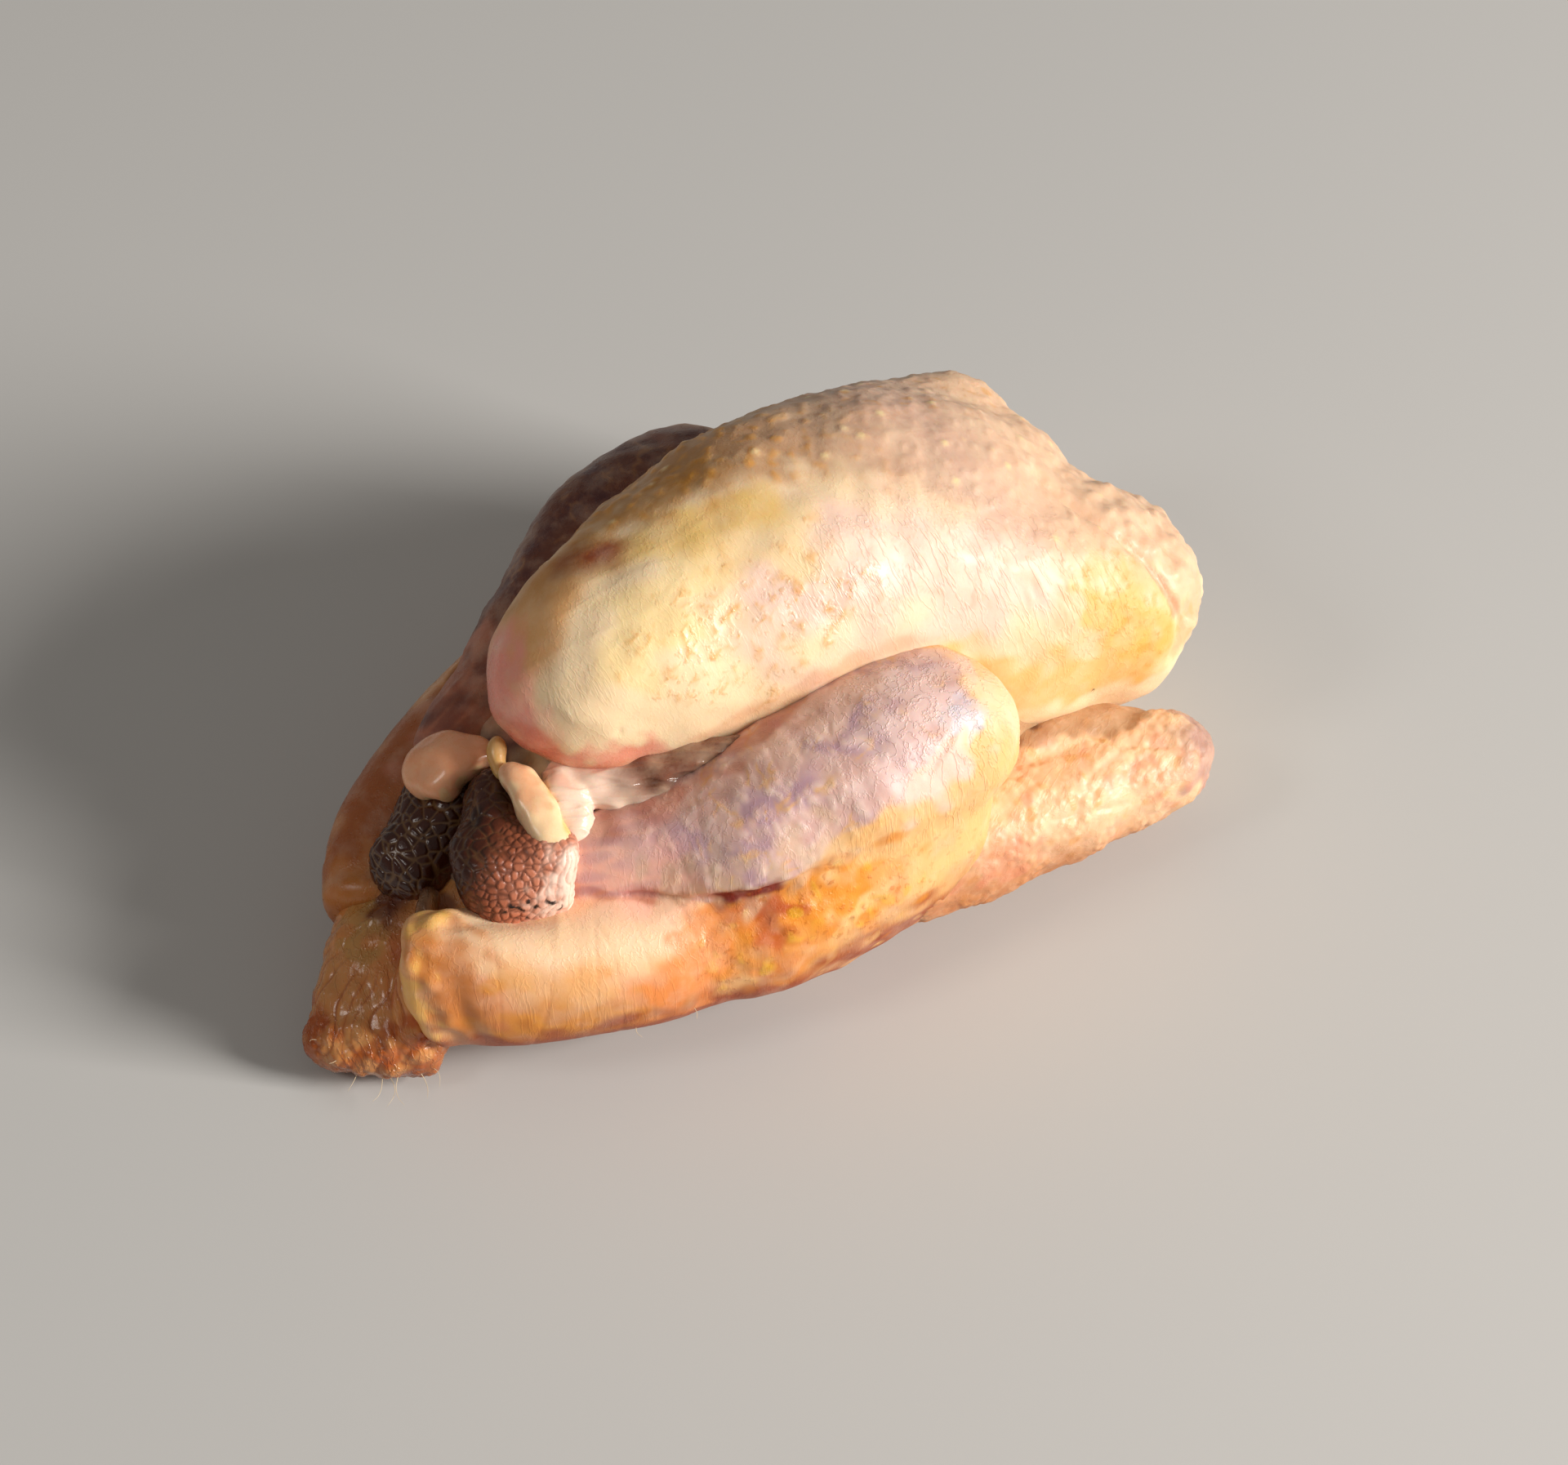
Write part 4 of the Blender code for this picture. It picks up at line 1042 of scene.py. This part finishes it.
def makeHairs(name, paths, colour, skin, part):
    # each hair: rings of its thinning radius round root + way t + bend sin(pi t), its root the skin's nearest point
    t = np.linspace(0, 1, part["steps"])[:, None]
    turn = np.linspace(0, 2 * np.pi, part["sides"], endpoint=False)
    tubes = []
    for start, way, bend in np.array(paths, float):
        root = skin[((skin - start) ** 2).sum(axis=1).argmin()] - 0.1 * way
        middle = root + way * t + bend * np.sin(np.pi * t)
        across = np.cross(way, (0.3, 0.2, 0.9))
        across /= np.linalg.norm(across)
        second = np.cross(way / np.linalg.norm(way), across)
        ring = np.cos(turn)[:, None] * across + np.sin(turn)[:, None] * second
        tubes.append(middle[:, None] + part["thick"] * (1 - 0.7 * t[..., None]) * ring)
    points, faces = closedGrids(tubes)
    finishSkin(meshObject(name, points, faces), points, evenTone(points, colour), hairLook)


breastSkin = makeBreast(breast)
legSkin = makeLeg("near_leg", nearLeg, 1)
makeLeg("far_leg", farLeg, -1)
makeWing("near_wing", wings["nearForms"], wings, 1)
makeWing("far_wing", wings["farForms"], wings, -1)
makeBack(back)
tailSkin = makeTail(tail)
makeStub("near_stub", stubs["near"], stubs, True)
makeStub("far_stub", stubs["far"], stubs, False)
for padName in ("near_pad", "far_pad", "amber", "skin_folds"):
    makePad(padName, pads[padName], pads)
hairySkin = np.vstack([legSkin, tailSkin])
makeHairs("pale_hairs", hairs["paths"], hairs["pale"], hairySkin, hairs)
makeHairs("dark_hairs", hairs["curls"], hairs["dark"], np.vstack([hairySkin, breastSkin]), hairs)


studio = dict(
    floor=tint(206, 205, 202), floorDull=0.8, floorReach=3000,  # millimetres each way
    lamps=dict(  # power in watts, size and place in metres
        key=(84.0, 0.75, (1.40, -1.75, 1.09)), fill=(3.0, 0.42, (-1.15, 0.05, 1.2)),
    ),
    lampColour=(1.0, 0.96, 0.92), lampTarget=(0, 0, 0.04), world=0.15, worldColour=(1.0, 0.95, 0.89),
    turn=-33.0, lift=47.0,  # degrees round from straight ahead, and above the floor
    distance=1.15, target=(0.0110, -0.0146, 0.0415), lens=107.8, sensor=36.0,  # metres, and millimetres for the lens
)


def aimed(place, target):
    # a turn that points an object's -Z from its place at the target, with Y up
    back = np.array(place, float) - np.array(target, float)
    back /= np.linalg.norm(back)
    right = np.cross((0, 0, 1), back)
    right /= np.linalg.norm(right)
    rows = np.column_stack([right, np.cross(back, right), back, place])
    return Matrix([list(row) for row in rows] + [[0, 0, 0, 1]])


def makeStudio(part):
    corners = np.array([(-1, -1, 0), (1, -1, 0), (1, 1, 0), (-1, 1, 0)]) * part["floorReach"]
    floor = meshObject("floor", corners, [(0, 1, 2, 3)])
    paper = bpy.data.materials.new("floor")
    paper.use_nodes = True
    shader = paper.node_tree.nodes["Principled BSDF"]
    shader.inputs["Base Color"].default_value = (*part["floor"], 1)
    shader.inputs["Roughness"].default_value = part["floorDull"]
    floor.data.materials.append(paper)
    for name, (power, size, place) in part["lamps"].items():
        lamp = bpy.data.lights.new(name, "AREA")
        lamp.energy, lamp.size, lamp.color = power, size, part["lampColour"]
        light = bpy.data.objects.new(name, lamp)
        light.matrix_world = aimed(place, part["lampTarget"])
        bpy.context.scene.collection.objects.link(light)
    world = bpy.data.worlds.new("studio")
    world.use_nodes = True
    sky = world.node_tree.nodes["Background"]
    sky.inputs["Color"].default_value = (*part["worldColour"], 1)
    sky.inputs["Strength"].default_value = part["world"]
    bpy.context.scene.world = world
    bpy.context.scene.view_settings.view_transform = "Standard"
    turn, lift = np.radians(part["turn"]), np.radians(part["lift"])
    back = np.array([np.sin(turn) * np.cos(lift), -np.cos(turn) * np.cos(lift), np.sin(lift)])
    lens = bpy.data.cameras.new("camera")
    lens.lens, lens.sensor_width = part["lens"], part["sensor"]
    camera = bpy.data.objects.new("camera", lens)
    camera.matrix_world = aimed(np.array(part["target"]) + part["distance"] * back, part["target"])
    bpy.context.scene.collection.objects.link(camera)
    bpy.context.scene.camera = camera


makeStudio(studio)
print("studio ready")
